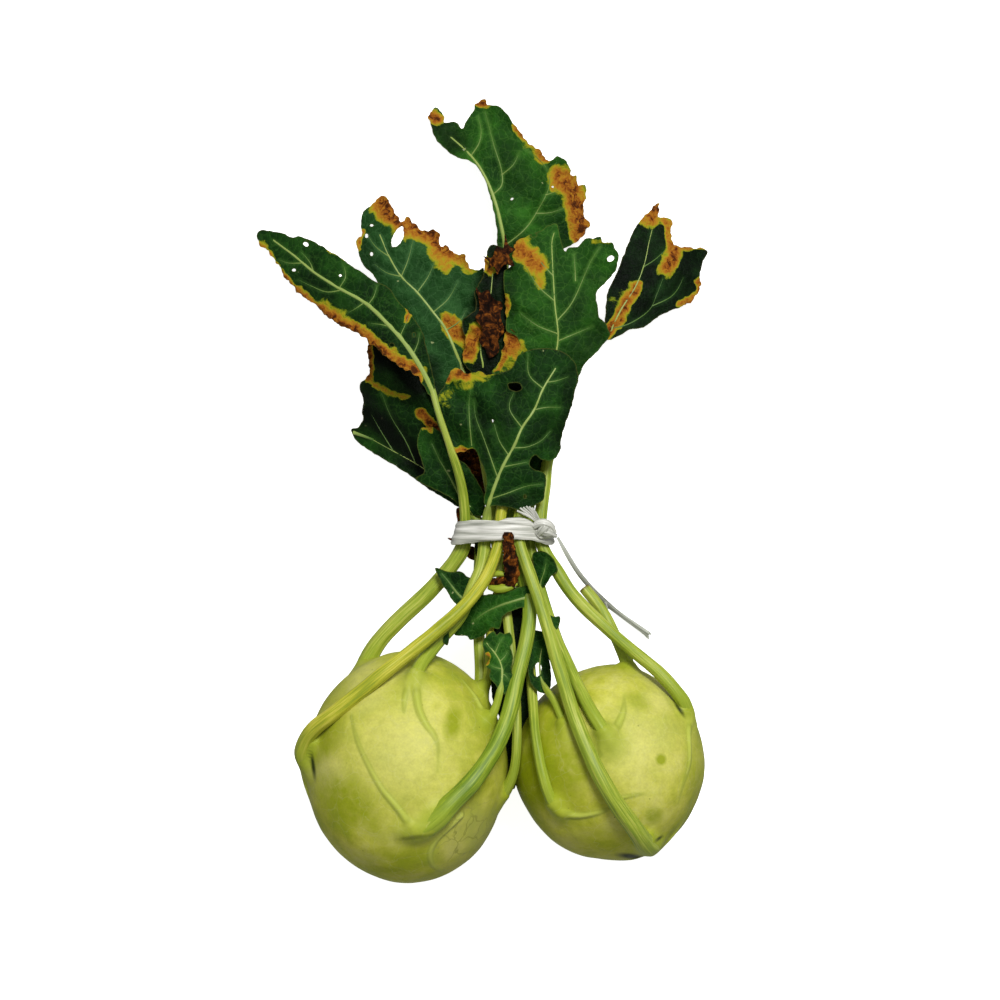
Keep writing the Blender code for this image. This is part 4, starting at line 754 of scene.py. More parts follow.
def leaf_skin(name, deep, middle, light, bloom):
    """A kohlrabi leaf: leathery dark green with a net of fine veins, dry and brown where it died."""
    made, tree, place = start_material(name)
    dry, shade, rim, near_vein = [add_node(tree, "Attribute", {"attribute_name": key}).outputs["Fac"]
        for key in ("dry", "shade", "rim", "near_vein")]
    clouds = add_node(tree, "TexNoise", {"Scale": 1 / 13, "Detail": 5.0, "Roughness": 0.65},
        {"Vector": place})
    stops = [(0.3, deep), (0.5, middle), (0.72, light)]
    colour = add_node(tree, "ValToRGB", {"stops": stops}, {"Fac": clouds})
    # The net's meshes are about 3 mm across, bent by noise, and hold finer ones of 1 mm.
    bend = add_node(tree, "TexNoise", {"Scale": 1 / 3, "Detail": 2.0}, {"Vector": place})
    bent = add_node(tree, "VectorMath", {"operation": "MULTIPLY_ADD", 1: (2.2, 2.2, 2.2)},
        {0: bend.outputs["Color"], 2: place})
    net, fine_net = [
        add_node(tree, "TexVoronoi", {"feature": "DISTANCE_TO_EDGE", "Scale": 1 / mesh}, {"Vector": bent})
        for mesh in (3.4, 1.1)]
    # Pale scratches and insect marks, about 1 mm across and 8 mm apart.
    marks = add_node(tree, "TexVoronoi", {"feature": "F1", "Scale": 1 / 8}, {"Vector": bent})
    # Dry tissue: its front is frayed over 5 mm and again over 1 mm.
    fray = add_node(tree, "TexNoise", {"Scale": 1 / 5, "Detail": 8.0, "Roughness": 0.72, "Distortion": 0.6},
        {"Vector": place})
    frayed = add_node(tree, "Math", {"operation": "MULTIPLY_ADD", 1: 1.2}, {0: dry, 2: fray})
    level = add_node(tree, "MapRange", {"From Min": 0.86, "From Max": 1.9}, {"Value": frayed})
    # Dead tissue is blotched tan, rust and dark brown every 2 mm or so.
    blotches = add_node(tree, "TexNoise",
        {"Scale": 1 / 2.6, "Detail": 7.0, "Roughness": 0.7, "Distortion": 0.8}, {"Vector": place})
    # Each pattern from its low to its high value becomes an amount that runs from start to end.
    ranges = [(net, 0.01, 0.06, 0.2, 0.0), (near_vein, 0.2, 1.3, 0.4, 0.0), (marks, 0.045, 0.07, 0.5, 0.0),
        (blotches, 0.36, 0.64, 0.45, 1.3), (level, 0.0, 0.1, 0.0, 1.0), (rim, 0.1, 0.5, 0.2, 0.0),
        (level, 0.0, 0.3, 0.5, 0.8)]
    net_line, beside_vein, mark, blotch, dead, rim_line, gloss = [
        add_node(tree, "MapRange", {"From Min": low, "From Max": high, "To Min": start, "To Max": end},
            {"Value": source}) for source, low, high, start, end in ranges]
    # Veins are pale, and painted shade makes the blade nearly black where it lies in shadow.
    layers = [(net_line, bloom), (beside_vein, bloom), (mark, "#B9BE84"), (shade, "#030702")]
    for amount, code in layers:
        colour = add_node(tree, "Mix", {"data_type": "RGBA", 7: srgb(code)}, {0: amount, 6: colour})
    # A yellow halo runs round the dry tissue, and the rim itself is a thin tan line.
    browned = add_node(tree, "Math", {"operation": "MULTIPLY"}, {0: level, 1: blotch})
    stops = [(0.0, "#4F6E14"), (0.14, "#98961C"), (0.28, "#AA8420"), (0.48, "#A66C1E"), (0.68, "#8E4F16"),
        (0.86, "#4A240C")]
    dry_colour = add_node(tree, "ValToRGB", {"stops": stops}, {"Fac": browned})
    colour = add_node(tree, "Mix", {"data_type": "RGBA"}, {0: dead, 6: colour, 7: dry_colour})
    colour = add_node(tree, "Mix", {"data_type": "RGBA", 7: srgb("#7D7A34")}, {0: rim_line, 6: colour})
    # The relief is the net, the dry tissue's crumples and the slow swells of the blade.
    relief = fine_net
    for pattern, depth in ((net, 1.5), (blotches, 1.6), (clouds, 7.0)):
        relief = add_node(tree, "Math", {"operation": "MULTIPLY_ADD", 1: depth}, {0: pattern, 2: relief})
    bump = add_node(tree, "Bump", {"Strength": 0.75, "Distance": 0.4 * MM}, {"Height": relief})
    shader = add_node(tree, "BsdfPrincipled", {"Specular IOR Level": 0.07},
        {"Base Color": colour, "Roughness": gloss, "Normal": bump})
    add_node(tree, "OutputMaterial", links={"Surface": shader})
    return made


DARK_LEAF = leaf_skin("dark_leathery_leaf", "#071E06", "#12340B", "#255314", "#4A782E")
BRIGHT_LEAF = leaf_skin("bright_leathery_leaf", "#10320A", "#1C450E", "#2E6318", "#5A8836")
# This leaf is bluish grey green, partly from its waxy bloom and partly as a painted sheen.
BLOOM_AND_SHEEN_LEAF = leaf_skin("waxy_bloom_and_sheen_leaf", "#10330F", "#1D431A", "#305C2B", "#4F7A46")
# The shaded leaf is the same leaf painted darker throughout, as shade, for blades that lie in shadow.
SHADED_LEAF = leaf_skin("shaded_leathery_leaf", "#050F05", "#0A1B08", "#16340F", "#27491F")


def leaf(node, stalk, rib, rib_radii, outline, heights, wave, green, stalk_green=GREEN_STALK, veins=(),
    holes=(), dry=(), shades=(), crumple=1.0, lobes=(), flaps=(), fade=0.35):
    """One leaf: its stalk, midrib and veins in one piece, and its blade in another."""
    surface = blade_surface(rib, heights, wave, veins)
    blade = blade_part(outline, surface, holes, dry, [rib, *veins], crumple, shades)
    rib_plan = even_steps(smooth_line(rib), 3.0)
    radii = np.linspace(rib_radii[0], rib_radii[1], len(rib_plan))
    lying = surface(rib_plan)
    rib_route = [(*p, z + BLADE_THICKNESS / 2 - 0.45 * r, r) for p, z, r in zip(rib_plan, lying, radii)]
    route = FEET[node] + stalk
    stalk_run, rib_run = [sum(math.dist(a[:3], b[:3]) for a, b in zip(points, points[1:]))
        for points in (route, rib_route)]
    start = stalk_run / (stalk_run + rib_run)
    parts = [stalk_part(route + rib_route, start - 0.1, start + 0.08)]
    parts += [vein_part(line, surface, 0.3, 0.07, fade=fade) for line in veins]
    for lobe_rib, lobe_surface, _ in lobes:
        parts.append(vein_part(lobe_rib, lobe_surface, 0.9, 0.25, sink=0.5))
    piece(node + "_stalk", parts, stalk_green, node)
    piece(node + "_blade", [blade, *[lobe[2] for lobe in lobes], *flaps], green, node)
    return surface


def lobe(outline, rib, heights, dry=(), shades=()):
    """A small lobe low on a leaf's stalk: its rib, its surface and its blade."""
    surface = blade_surface(rib, heights, (0.4, 11, 1.0), ())
    return rib, surface, blade_part(outline, surface, dry=dry, veins=[rib], shades=shades)


def flap(outline, heights, dry=(), shades=(), crumple=1.0):
    """A loose scrap of blade without a rib of its own."""
    rib = [outline[0], outline[len(outline) // 2]]
    return blade_part(outline, blade_surface(rib, heights, (0.2, 9, 0.3), ()), dry=dry, shades=shades,
        crumple=crumple)


# Far left leaf
# From the back of the left stem: the blade that reaches furthest left, with a strong pale midrib
# and a lower rim that has rolled up and dried brown.
stalk = [(-42, -61, 30, 3.4), (-34, -52, 32, 3.3), (-22.8, -41.6, 33.5, 3.2), (-14.8, -32.8, 34.5, 3.1),
    (-8.2, -22.8, 35.5, 3.0), (-7, -14, 36.5, 2.3), (-8, -1.2, 39.5, 2.0), (-10, 8, 43.6, 1.8),
    (-12.8, 16.4, 46.8, 1.5), (-15.6, 24.8, 48.4, 1.3), (-18, 32, 48.6, 1.25)]
rib = [(-20, 39.6), (-23.6, 47.2), (-28, 54.4), (-34, 62.4), (-46, 74.4), (-57.6, 81.2), (-67.6, 87.6),
    (-75.2, 94), (-84.4, 101)]
outline = [(-90.6, 104.8), (-81.6, 104), (-76.8, 102), (-73.6, 102.4), (-67.6, 100), (-62.8, 97.2),
    (-57.6, 94), (-53.6, 90.8), (-48.4, 87.6), (-44, 84.4), (-37.6, 81.2), (-34, 76), (-29.6, 71.6),
    (-24.4, 64), (-22.6, 57.6), (-21, 51), (-19.2, 42), (-21.5, 38.5), (-25.6, 45.2), (-32, 49.2),
    (-38.4, 53.6), (-46, 60), (-49.2, 62.4), (-57.6, 66.8), (-64, 70.8), (-67.6, 74.8), (-72.8, 78.4),
    (-77.2, 82.8), (-80, 86.8), (-83.2, 92), (-86.8, 96.8), (-90, 98.8)]
heights = [(-20, 39.6, 48.5), (-28, 54.4, 47.5), (-39, 68, 44), (-57.6, 81.2, 32), (-75.2, 94, 17),
    (-90, 103, 3), (-24, 66, 45), (-38, 80, 38), (-57, 94, 26), (-74, 102, 13), (-32, 50, 46.5),
    (-49, 63, 38), (-66, 74, 27), (-78, 84, 16), (-86, 96, 7)]
veins = [[(-57.6, 81.2), (-55.2, 85.2), (-55.2, 88), (-56, 91.5)],
    [(-56.8, 80.4), (-62.8, 79.8), (-68.8, 82.2), (-74, 84.8)], [(-46, 74.4), (-43.6, 78), (-42.4, 82.4)],
    [(-37, 65.6), (-41, 66.6), (-45.6, 67)], [(-48, 75), (-51, 73), (-54, 71.4)],
    [(-33.2, 61.6), (-30.8, 67), (-29.6, 71)], [(-68, 88), (-69.6, 92), (-73, 96)],
    [(-72, 91.6), (-78, 91.6), (-82, 93)], [(-28, 54.4), (-26, 59), (-25.4, 63)]]
dry = [([(-90, 99), (-80, 86), (-68, 74)], 2.4, 0.9),
    ([(-66, 72.6), (-58, 67.4), (-49, 62), (-38.4, 53.6), (-27, 46.5)], 4.6, 1.0),
    ([(-64, 75), (-56, 70.6)], 4.0, 0.45), ([(-30.8, 68.6), (-29.6, 71.4)], 2.0, 0.8),
    ([(-62, 97), (-56, 93)], 1.6, 0.5)]
holes = [hole((-71.2, 99.2), 1.2, 0.8, -30), hole((-76, 88.8), 0.8, 0.6), hole((-57.2, 86.4), 0.6, 0.5),
    hole((-27.6, 62.4), 0.5, 0.8), hole((-36.4, 58.4), 0.9, 0.7)]
# Painted shade: the blade is painted darker along these lines, where it lies in shadow.
shades = [([(-74, 86), (-62, 78), (-50, 69), (-38, 58)], 5, 0.4), ([(-30, 66), (-24, 56)], 4, 0.4)]
leaf("leaf_far_left", stalk, rib, (1.35, 0.35), outline, heights, (1.2, 21, 0.4), DARK_LEAF, veins=veins,
    holes=holes, dry=dry, shades=shades)


# Middle left leaf
# From between the two stems, on a thin stalk: a broad blade, bluish from a bloom of wax and a
# painted sheen, with an oval hole and an upper rim that has dried and crumbled away.
stalk = [(12, -113, 48.5, 2.0), (13.4, -103, 50.5, 1.9), (13.4, -88, 49, 1.9), (12, -72, 45.5, 1.9),
    (10.6, -58, 42.5, 2.0), (8, -38, 38, 2.1), (5.5, -22, 35.2, 2.2), (4.5, -12, 34.5, 2.2),
    (3, 0, 34, 2.2), (-1, 20, 33, 2.0), (-5, 36, 31.5, 1.6)]
rib = [(-8.8, 50.4), (-14.8, 64.4), (-20, 71.6), (-26.4, 79.6), (-32.8, 86), (-37.6, 94), (-41.5, 103)]
outline = [(-43.6, 86), (-48.4, 91.2), (-50.4, 97.6), (-50.8, 100.8), (-48.8, 103.2), (-49.2, 107.2),
    (-48.4, 111.6), (-46, 114.4), (-42, 117.6), (-39.2, 118.4), (-37.6, 116), (-36, 113.6), (-34, 109.6),
    (-32.8, 108.4), (-30.4, 110), (-28, 108), (-24.4, 105.2), (-20, 104.8), (-18, 103.6), (-16.8, 98.8),
    (-14, 98.4), (-11.6, 95.6), (-7.6, 94.8), (-6.8, 92), (-5.2, 89.2), (-2, 88.8), (0.4, 89.2),
    (-0.8, 82.8), (-3.2, 79.6), (-2, 73.2), (-5, 64), (-3, 58), (2.5, 54), (4, 46), (-6, 42), (-12, 36),
    (-19, 35), (-23, 43), (-26, 54), (-31, 64), (-38, 74)]
heights = [(-8.8, 50, 30), (-20, 71.6, 30), (-32.8, 86, 26), (-40, 100, 20), (-45, 114, 13), (-49, 103, 15),
    (-46, 88, 20), (-28, 70, 30), (-30, 108, 20), (-14, 97, 25), (0, 88, 26), (-3, 72, 28), (-22, 90, 25),
    (2, 50, 27.6), (-14, 42, 30), (-30, 62, 30)]
veins = [[(-26.4, 79.6), (-22, 86), (-19, 93)], [(-20, 71.6), (-14, 77), (-10, 84)],
    [(-32.8, 86), (-30, 93), (-28, 101)], [(-32.8, 86), (-38.5, 87.5), (-43.5, 91)],
    [(-37.6, 94), (-43, 98), (-46.5, 103)], [(-14.8, 64.4), (-9.5, 68), (-6.5, 73)]]
dry = [([(-41.2, 116), (-35.6, 110.6), (-31.6, 106)], 6.4, 1.0),
    ([(-28, 107), (-20, 103.4), (-15, 97)], 6.6, 1.0), ([(-12, 94.6), (-5.6, 91)], 4.4, 0.75),
    ([(-20, 99), (-15, 91)], 5.2, 0.6), ([(-13.6, 67.6), (-9, 62), (-5, 60)], 4.6, 0.85),
    ([(-50.4, 98), (-49, 104)], 1.6, 0.7)]
holes = [hole((-34.2, 102), 4.2, 2.0, 65), hole((-44.8, 106.8), 0.7, 0.5), hole((-46.8, 102.6), 0.7, 0.9),
    hole((-44.8, 95.2), 0.6, 0.8)]
# Painted shade: the blade is painted darker along these lines, where it lies in shadow.
shades = [([(-18, 36), (-20, 44), (-23, 52)], 5, 0.8), ([(0, 86), (-3, 76), (-5, 66)], 4, 0.5),
    ([(-48, 98), (-44, 90)], 4, 0.4), ([(2, 50), (-4, 46)], 6, 0.6)]
# A flap of blade painted nearly black and set deep between the two stems, as painted shade in the gap
# between them.
shadow_flap_outline = [(3.5, -71), (9, -64), (17.5, -66), (18.5, -80), (18, -95), (15.5, -108), (13, -118),
    (11.8, -119), (9.8, -112), (8, -95), (4, -84)]
shadow_flap_heights = [(4, -72, 40), (17, -68, 38), (13, -90, 40), (12, -118, 38), (18, -95, 40), (9.5, -95, 40)]
shadow_flap = flap(shadow_flap_outline, shadow_flap_heights, shades=[([(13, -64), (13, -120)], 14, 0.8)])
leaf("leaf_mid_left", stalk, rib, (0.75, 0.25), outline, heights, (1.0, 19, 2.0), BLOOM_AND_SHEEN_LEAF, veins=veins,
    holes=holes, dry=dry, shades=shades, flaps=[shadow_flap])


# Top leaf
# From the front of the left stem, on the thickest stalk: the blade that reaches furthest up, bent
# over to the left, with a dried right rim. A lobe of it grows from the stalk below the tie.
stalk = [(-12.4, -124, 73.6, 4.1), (-3.6, -114.8, 71.5, 3.7), (4, -103.6, 66.5, 3.4),
    (9.6, -91.2, 60.5, 3.2), (14, -73.2, 53, 3.0), (17.4, -59.6, 48, 2.9), (18.6, -47.2, 44, 2.8),
    (16.5, -35, 40.5, 2.7), (13, -22, 38, 2.7), (12, -12, 37, 2.6), (12.5, 0, 35, 2.5), (13, 20, 32, 2.5),
    (11, 40, 29, 2.3), (9, 55, 26.6, 2.0), (8.5, 70, 24, 1.7), (8.6, 84, 21, 1.5)]
rib = [(9.4, 95), (8, 102.8), (7.2, 106.8), (5.6, 113.6), (3.6, 120), (0.8, 126.4), (-2, 131.2),
    (-5.2, 135.2), (-8.8, 138.8), (-13, 142.5)]
outline = [(-22.4, 150.8), (-19.2, 154.4), (-17.2, 153.2), (-15.6, 150.8), (-15.6, 148.4), (-12.4, 148.8),
    (-10, 148), (-8.4, 146), (-6.8, 149.2), (-3.6, 153.6), (-3.2, 156), (-0.8, 157.2), (1.2, 157.2),
    (2, 155.6), (5.6, 155.2), (9.2, 152.4), (13.2, 146.8), (18.4, 140), (22, 138), (26.4, 132.8),
    (30, 134.8), (34, 132.4), (35.6, 127.2), (37.6, 127.2), (38.4, 123.2), (41.6, 122.8), (40.4, 112.4),
    (42.8, 106.8), (38, 100.8), (33.6, 98), (24, 94), (16, 91), (8, 93), (5.6, 99.2), (5.6, 104.4),
    (4.4, 112), (2.8, 118.4), (0.8, 124.8), (-2, 130), (-5.6, 132.8), (-10, 134), (-12.8, 135.6),
    (-16.4, 138.8), (-19.6, 142.4), (-21.2, 148.4)]
heights = [(8, 95, 18), (6, 112, 17), (1, 126, 14), (-8, 138, 9), (-20, 150, 2), (-10, 146, 4), (0, 156, 3),
    (8, 150, 7), (14, 138, 12), (24, 134, 10), (38, 124, 3), (42, 108, 3), (22, 118, 14), (20, 98, 17),
    (34, 99, 12)]
veins = [[(-4.8, 135), (-1.6, 140), (-0.8, 145.2), (-2, 150.8)],
    [(4, 119.2), (7.6, 123.2), (7.2, 130), (4.4, 138.8), (2.4, 146.8), (0.8, 152.8)],
    [(8, 98), (16.8, 105.2), (22.4, 113.6), (26.4, 122), (26, 128.8), (22, 134), (16.8, 138)],
    [(21, 111.6), (27, 112), (33, 114)], [(25, 119), (30, 120.6)], [(7.4, 127), (12, 131), (14.5, 136)]]
dry = [([(-22.4, 154), (-18.5, 150)], 3.4, 1.0), ([(-2.5, 157), (1.5, 156)], 2.4, 1.0),
    ([(31.5, 126), (36.5, 120), (38.5, 112), (40.5, 105)], 6.2, 1.0),
    ([(13.2, 147), (18.8, 140.6), (25.5, 133)], 2.6, 0.8), ([(38, 101.5), (40, 104)], 4.0, 0.9),
    ([(27, 93), (24, 95)], 3.0, 0.7)]
holes = [hole((-7.6, 137.6), 0.6, 0.5), hole((11.6, 117.4), 0.7, 0.4, 30), hole((28, 122.4), 0.5, 0.4)]
lobe_outline = [(18.5, -38.4), (14.4, -38.4), (7.6, -40.8), (0, -41.6), (-3.2, -43.5), (-8.4, -51.6),
    (-11.6, -57.2), (-6.4, -58), (-4.8, -59.6), (0, -58), (3.2, -54.8), (6.8, -54.8), (8.8, -49.2),
    (18.5, -45)]
lobe_rib = [(18, -42.4), (9, -45), (2, -48), (-4, -52)]
lobe_heights = [(18, -42, 45.3), (10, -40, 46), (8, -50, 46), (0, -50, 44.3), (-2, -43, 42),
    (-10, -56, 41.8), (-2, -58, 42.5)]
# Painted shade: the blade is painted darker along these lines, where it lies in shadow.
shades = [([(-20, 147), (-14, 144), (-11, 139)], 6, 0.7), ([(12, 98), (24, 98), (34, 102)], 7, 0.4),
    ([(10, 134), (16, 124)], 6, 0.3)]
lobes = [lobe(lobe_outline, lobe_rib, lobe_heights)]
leaf("leaf_top", stalk, rib, (1.05, 0.3), outline, heights, (1.0, 23, 1.2), BRIGHT_LEAF, DEEP_STALK, veins,
    holes, dry, shades, lobes=lobes)


# Front leaf
# From the middle of the left stem, on a short green stalk: the large blade just above the tie,
# seen from its upper face. A crinkled lobe of it grows from the stalk below the tie.
stalk = [(-24, -68, 58, 2.7), (-18.4, -61, 53, 2.6), (-9.6, -50.8, 48.8, 2.5), (-4.6, -40, 46, 2.5),
    (-0.6, -30, 43, 2.5), (1, -18, 40.8, 2.4), (1.6, -10, 41.5, 1.9)]
rib = [(2.4, -5.2), (4, 0), (8, 10), (12.4, 18), (15.6, 25.2), (20.4, 32.4), (24, 40.8), (29, 49)]
outline = [(5.2, -6), (0.6, -5), (1.2, 5.2), (-2, 14.4), (-4.4, 16.8), (-10.8, 15.6), (-17, 24), (-19, 31),
    (-18.5, 37), (-15.5, 42), (-13.6, 46.8), (-10.6, 49.2), (-8, 47.4), (-1.2, 47.6), (2.8, 46.4),
    (11.2, 48.8), (14.4, 54.4), (22, 57), (31.6, 55.8), (36.8, 51.2), (38, 45.6), (36.8, 40.4), (36, 36),
    (34.4, 31), (31.6, 22.4), (30.8, 16.4), (28, 12.4), (23.6, 12.4), (20.8, 14.4), (18.4, 11.2),
    (20.4, 8.8), (24.8, 6.8), (24.8, 1.2), (23.6, -4), (15.6, -7.6), (10, -6.4)]
heights = [(2.4, -5, 46.5), (8, 10, 50), (15, 25, 52), (24, 41, 51), (31, 54, 47), (-1, 14, 47),
    (-10.5, 16, 42), (-14, 26, 41.5), (-14, 38, 42), (-7, 48, 41.5), (2, 35, 47), (10, 48, 45.5),
    (37, 46, 45), (31, 20, 45), (22, 14, 48.5), (24, 0, 46), (14, -7, 47)]
veins = [[(15.6, 25.2), (11.2, 31.2), (10.6, 35), (12.2, 39)], [(24, 40.8), (18.4, 46.4), (18, 55)],
    [(12.4, 17.2), (17.6, 17.6), (23, 20), (27, 24)], [(6, 5), (0.4, 20.8), (-2.8, 29.2), (-3.6, 36)],
    [(-4.4, 18), (-5.2, 26), (-5.6, 34.4), (-4.8, 41)], [(3.4, -3), (10, -0.8), (17, 1.8), (23.6, 2.8)],
    [(8, 9.6), (12, 10.4), (18, 11.6)], [(20.4, 32.4), (25.6, 33.4), (31, 33.4)],
    [(10.4, 14), (6.6, 20), (4.4, 27)], [(25.4, 43.4), (29.4, 44), (34, 45.6)]]
dry = [([(-13, 46), (-10, 47.4), (-7.5, 47)], 3.2, 1.0), ([(-8, 46), (-2, 46), (2, 46.4)], 5.0, 0.42),
    ([(-16, 36), (-11, 42), (-6, 42)], 5.0, 0.34), ([(-11, 15.4), (-5, 15.6)], 2.2, 0.9)]
holes = [hole((12.8, 41.6), 2.8, 1.7, -10), hole((16.8, -2.2), 0.5, 0.7), hole((3.8, 28), 0.4, 0.6)]
lobe_outline = [(-19.2, -30.8), (-16, -31.6), (-12.4, -32.4), (-9.2, -32), (-6.4, -34), (-4.4, -36),
    (-4.6, -42), (-8, -47), (-11.2, -44.8), (-12.8, -42.8), (-16.8, -36.4)]
lobe_rib = [(-6.3, -44.6), (-10.5, -40.5), (-13.5, -36.5), (-16.5, -33)]
lobe_heights = [(-19, -31, 41.5), (-12, -32, 43), (-5, -36, 45), (-7, -45, 45.5), (-14, -39, 42.5)]
# Painted shade: the blade is painted darker along these lines, where it lies in shadow.
shades = [([(7, 20), (10, 34), (16, 44)], 6, 0.45), ([(-1, 8), (1, 20), (-1, 30)], 4, 0.5),
    ([(35, 48), (33, 32), (29, 18)], 4, 0.5), ([(8, -4), (20, -3)], 4, 0.5), ([(20, 22), (26, 28)], 6, 0.3)]
lobes = [lobe(lobe_outline, lobe_rib, lobe_heights)]
sliver = flap([(-14.2, -55.2), (-13.4, -58), (-14, -61.6), (-15.9, -60.4), (-16, -57.6)],
    [(-14, -55, 54), (-14, -61, 55.4), (-16, -59, 54.6)])
leaf("leaf_front", stalk, rib, (0.95, 0.35), outline, heights, (0.8, 17, 0.0), DARK_LEAF, veins=veins,
    holes=holes, dry=dry, shades=shades, lobes=lobes, flaps=[sliver])


# Upper centre leaf
# From the left stem's outer shoulder, on a yellowish stalk that crosses over the stem: the
# bright green blade behind the front leaf, with an orange patch at its top.
stalk = [(-66.5, -94, 57, 3.1), (-58.8, -88, 61, 3.0), (-42, -74.4, 64, 2.9), (-25.2, -61.2, 62, 2.8),
    (-9.2, -47.6, 57.5, 2.7), (0.8, -35, 51.5, 2.5), (6, -22, 45.5, 2.3), (6.8, -14, 43.6, 2.3),
    (7.5, -8, 42.5, 2.3), (11, 5, 40, 2.3), (16, 18, 38.5, 2.2), (22, 32, 38, 1.6)]
rib = [(27, 45), (30, 60.8), (28.8, 73.6), (28, 88), (27.6, 99.2), (28.5, 103.5)]
outline = [(11.2, 90.4), (8.4, 88), (8.4, 80), (9.2, 71.6), (9.4, 64.5), (13.6, 61.6), (14.8, 56.4),
    (12.8, 51.6), (9, 48.6), (4.2, 47.4), (7, 40), (16, 36), (30, 36), (36.8, 40.5), (38.7, 46.5),
    (41.1, 51.3), (45.9, 56.1), (50.7, 62.1), (50, 65.2), (48.4, 68), (46.4, 69.6), (46, 73.6),
    (45.2, 78.4), (46, 80.4), (49.2, 83.6), (52.8, 88), (54, 91.6), (54.4, 95.2), (52.8, 97.2), (51.6, 100),
    (48, 99.6), (47.2, 102), (44, 101.2), (40.8, 101.2), (38, 98), (34.4, 97.6), (32.8, 96), (31.2, 100.8),
    (30.4, 104.4), (29.2, 107.2), (26, 106.4), (23.2, 104.4), (13.2, 99.6)]
heights = [(27, 45, 39), (30, 61, 40), (29, 74, 39), (28, 88, 35), (28, 104, 29), (9, 86, 35), (10, 66, 38),
    (7, 48, 36.5), (18, 76, 39), (14, 98, 31), (42, 56, 37), (48, 66, 34), (46, 78, 34), (53, 93, 27),
    (47, 100, 27), (37, 97, 31)]
veins = [[(29.6, 68), (36, 76), (42.8, 91.2), (47.2, 98.4)], [(37, 84), (36.8, 90), (36.4, 95)],
    [(28.6, 76), (22, 82), (17, 90)], [(29.6, 63), (22, 66), (15, 71)], [(30, 60), (37, 63), (44, 66)],
    [(28.2, 86), (23, 92), (21, 98)]]
dry = [([(14.5, 98), (19, 93), (22, 90.5)], 6.4, 0.85), ([(22, 90), (23, 84)], 4.4, 0.55),
    ([(15, 60), (16, 54)], 2.6, 0.5), ([(10, 70), (9.6, 78)], 1.6, 0.7),
    ([(44, 101), (50, 99.6)], 1.8, 0.4)]
holes = [hole((51.2, 93.2), 1.5, 1.1, 20), hole((20.4, 102.6), 1.0, 0.7)]
# Painted shade: the blade is painted darker along these lines where it lies in shadow, nearly black under
# the front leaf's hole.
shades = [([(8, 39), (16, 40), (24, 38)], 6, 1.0), ([(48, 68), (45, 60), (40, 54)], 7, 0.5),
    ([(11, 70), (10.4, 84)], 3, 0.5), ([(38, 72), (44, 84)], 6, 0.3), ([(20, 52), (34, 50)], 6, 0.4)]
flap_outline = [(9, 64.4), (12.5, 64.2), (15, 61.8), (14.8, 57.5), (16.2, 55.5), (14.4, 50.8), (10.6, 47.6),
    (5, 46.6), (4, 48), (6.9, 53), (8.2, 58.5)]
flap_heights = [(9, 64, 38.6), (15, 61, 39.4), (8, 58, 38), (16, 55, 40), (5, 47, 37.4), (13, 50, 39.6)]
flap_dry = [([(11.5, 63), (11.5, 57.5)], 5.4, 1.0), ([(12.5, 54), (9.5, 49.4)], 5, 0.4),
    ([(5, 47), (8, 52), (9, 57)], 1.8, 0.9)]
dried_flap = flap(flap_outline, flap_heights, flap_dry, crumple=1.2)
leaf("leaf_upper_centre", stalk, rib, (0.5, 0.2), outline, heights, (0.9, 18, 2.4), BRIGHT_LEAF,
    YELLOW_STALK, veins, holes, dry, shades, flaps=[dried_flap])


# Far right leaf
# From the right stem's outer shoulder: the blade furthest right, painted dark throughout as shade, dried
# orange along one fold and in patches on its rim.
stalk = [(77.8, -81, 52.3, 2.7), (70.4, -72.6, 52, 2.6), (59.2, -63.4, 49.5, 2.5), (48, -53.6, 46.5, 2.5),
    (36.8, -42.6, 43, 2.5), (29.4, -31.6, 40.5, 2.5), (23.8, -22, 38.8, 2.5), (23, -12, 38, 2.5),
    (24.5, 0, 36, 2.4), (26, 12.4, 33, 2.3), (30, 28, 30, 2.2), (34.5, 42, 27.5, 1.9), (40, 53, 26, 1.6)]
rib = [(50.6, 63.2), (55.5, 73), (61.6, 82.8), (65, 92), (66.8, 100.4), (69.6, 111)]
outline = [(49, 61), (49.2, 72.4), (50, 79.6), (52.4, 84.8), (56, 93.6), (58.4, 100), (61.2, 106),
    (64.8, 110.8), (68.8, 114.4), (71.2, 116), (70.8, 110.8), (75.2, 110), (76.4, 107.2), (75.6, 105.5),
    (76.4, 100.4), (79, 98.6), (83.6, 98), (87.2, 98), (90.6, 96.4), (88.8, 93), (87.2, 86), (88, 82.8),
    (84, 76.4), (78.8, 74), (71.6, 70.8), (67.2, 67.6), (64, 65.6), (59.2, 64.8), (54, 62)]
heights = [(50.6, 63, 25), (61.6, 82.8, 20), (66.8, 100, 13), (71, 115, 6), (51, 80, 22), (59, 101, 15),
    (76, 104, 8), (89, 95, 1), (86, 80, 6), (72, 72, 16), (60, 65, 23), (75, 88, 13)]
veins = [[(51.5, 65), (59.2, 67.4), (66.8, 72.8), (70, 79.6), (72.4, 85.6)],
    [(68, 74.4), (74.4, 77.4), (78, 80.8), (80.6, 86)], [(64.4, 90), (69, 93), (73, 96.6)]]
dry = [([(50, 63.5), (52.4, 66.6), (57, 74.6), (61, 81.6)], 3.2, 0.95), ([(52, 76), (56, 80)], 4.0, 0.3),
    ([(67, 110.5), (70.4, 114)], 5.2, 0.95), ([(73, 109), (76, 107.6)], 2.4, 0.8),
    ([(75, 106), (75.4, 99.6)], 2.0, 0.8), ([(76.4, 99), (82, 98.4), (88, 98)], 1.6, 0.85),
    ([(77.4, 98), (75.6, 93.4), (73.6, 89)], 4.2, 0.95),
    ([(87, 85), (87.6, 80.5), (84, 76.6), (80, 75)], 2.2, 0.95)]
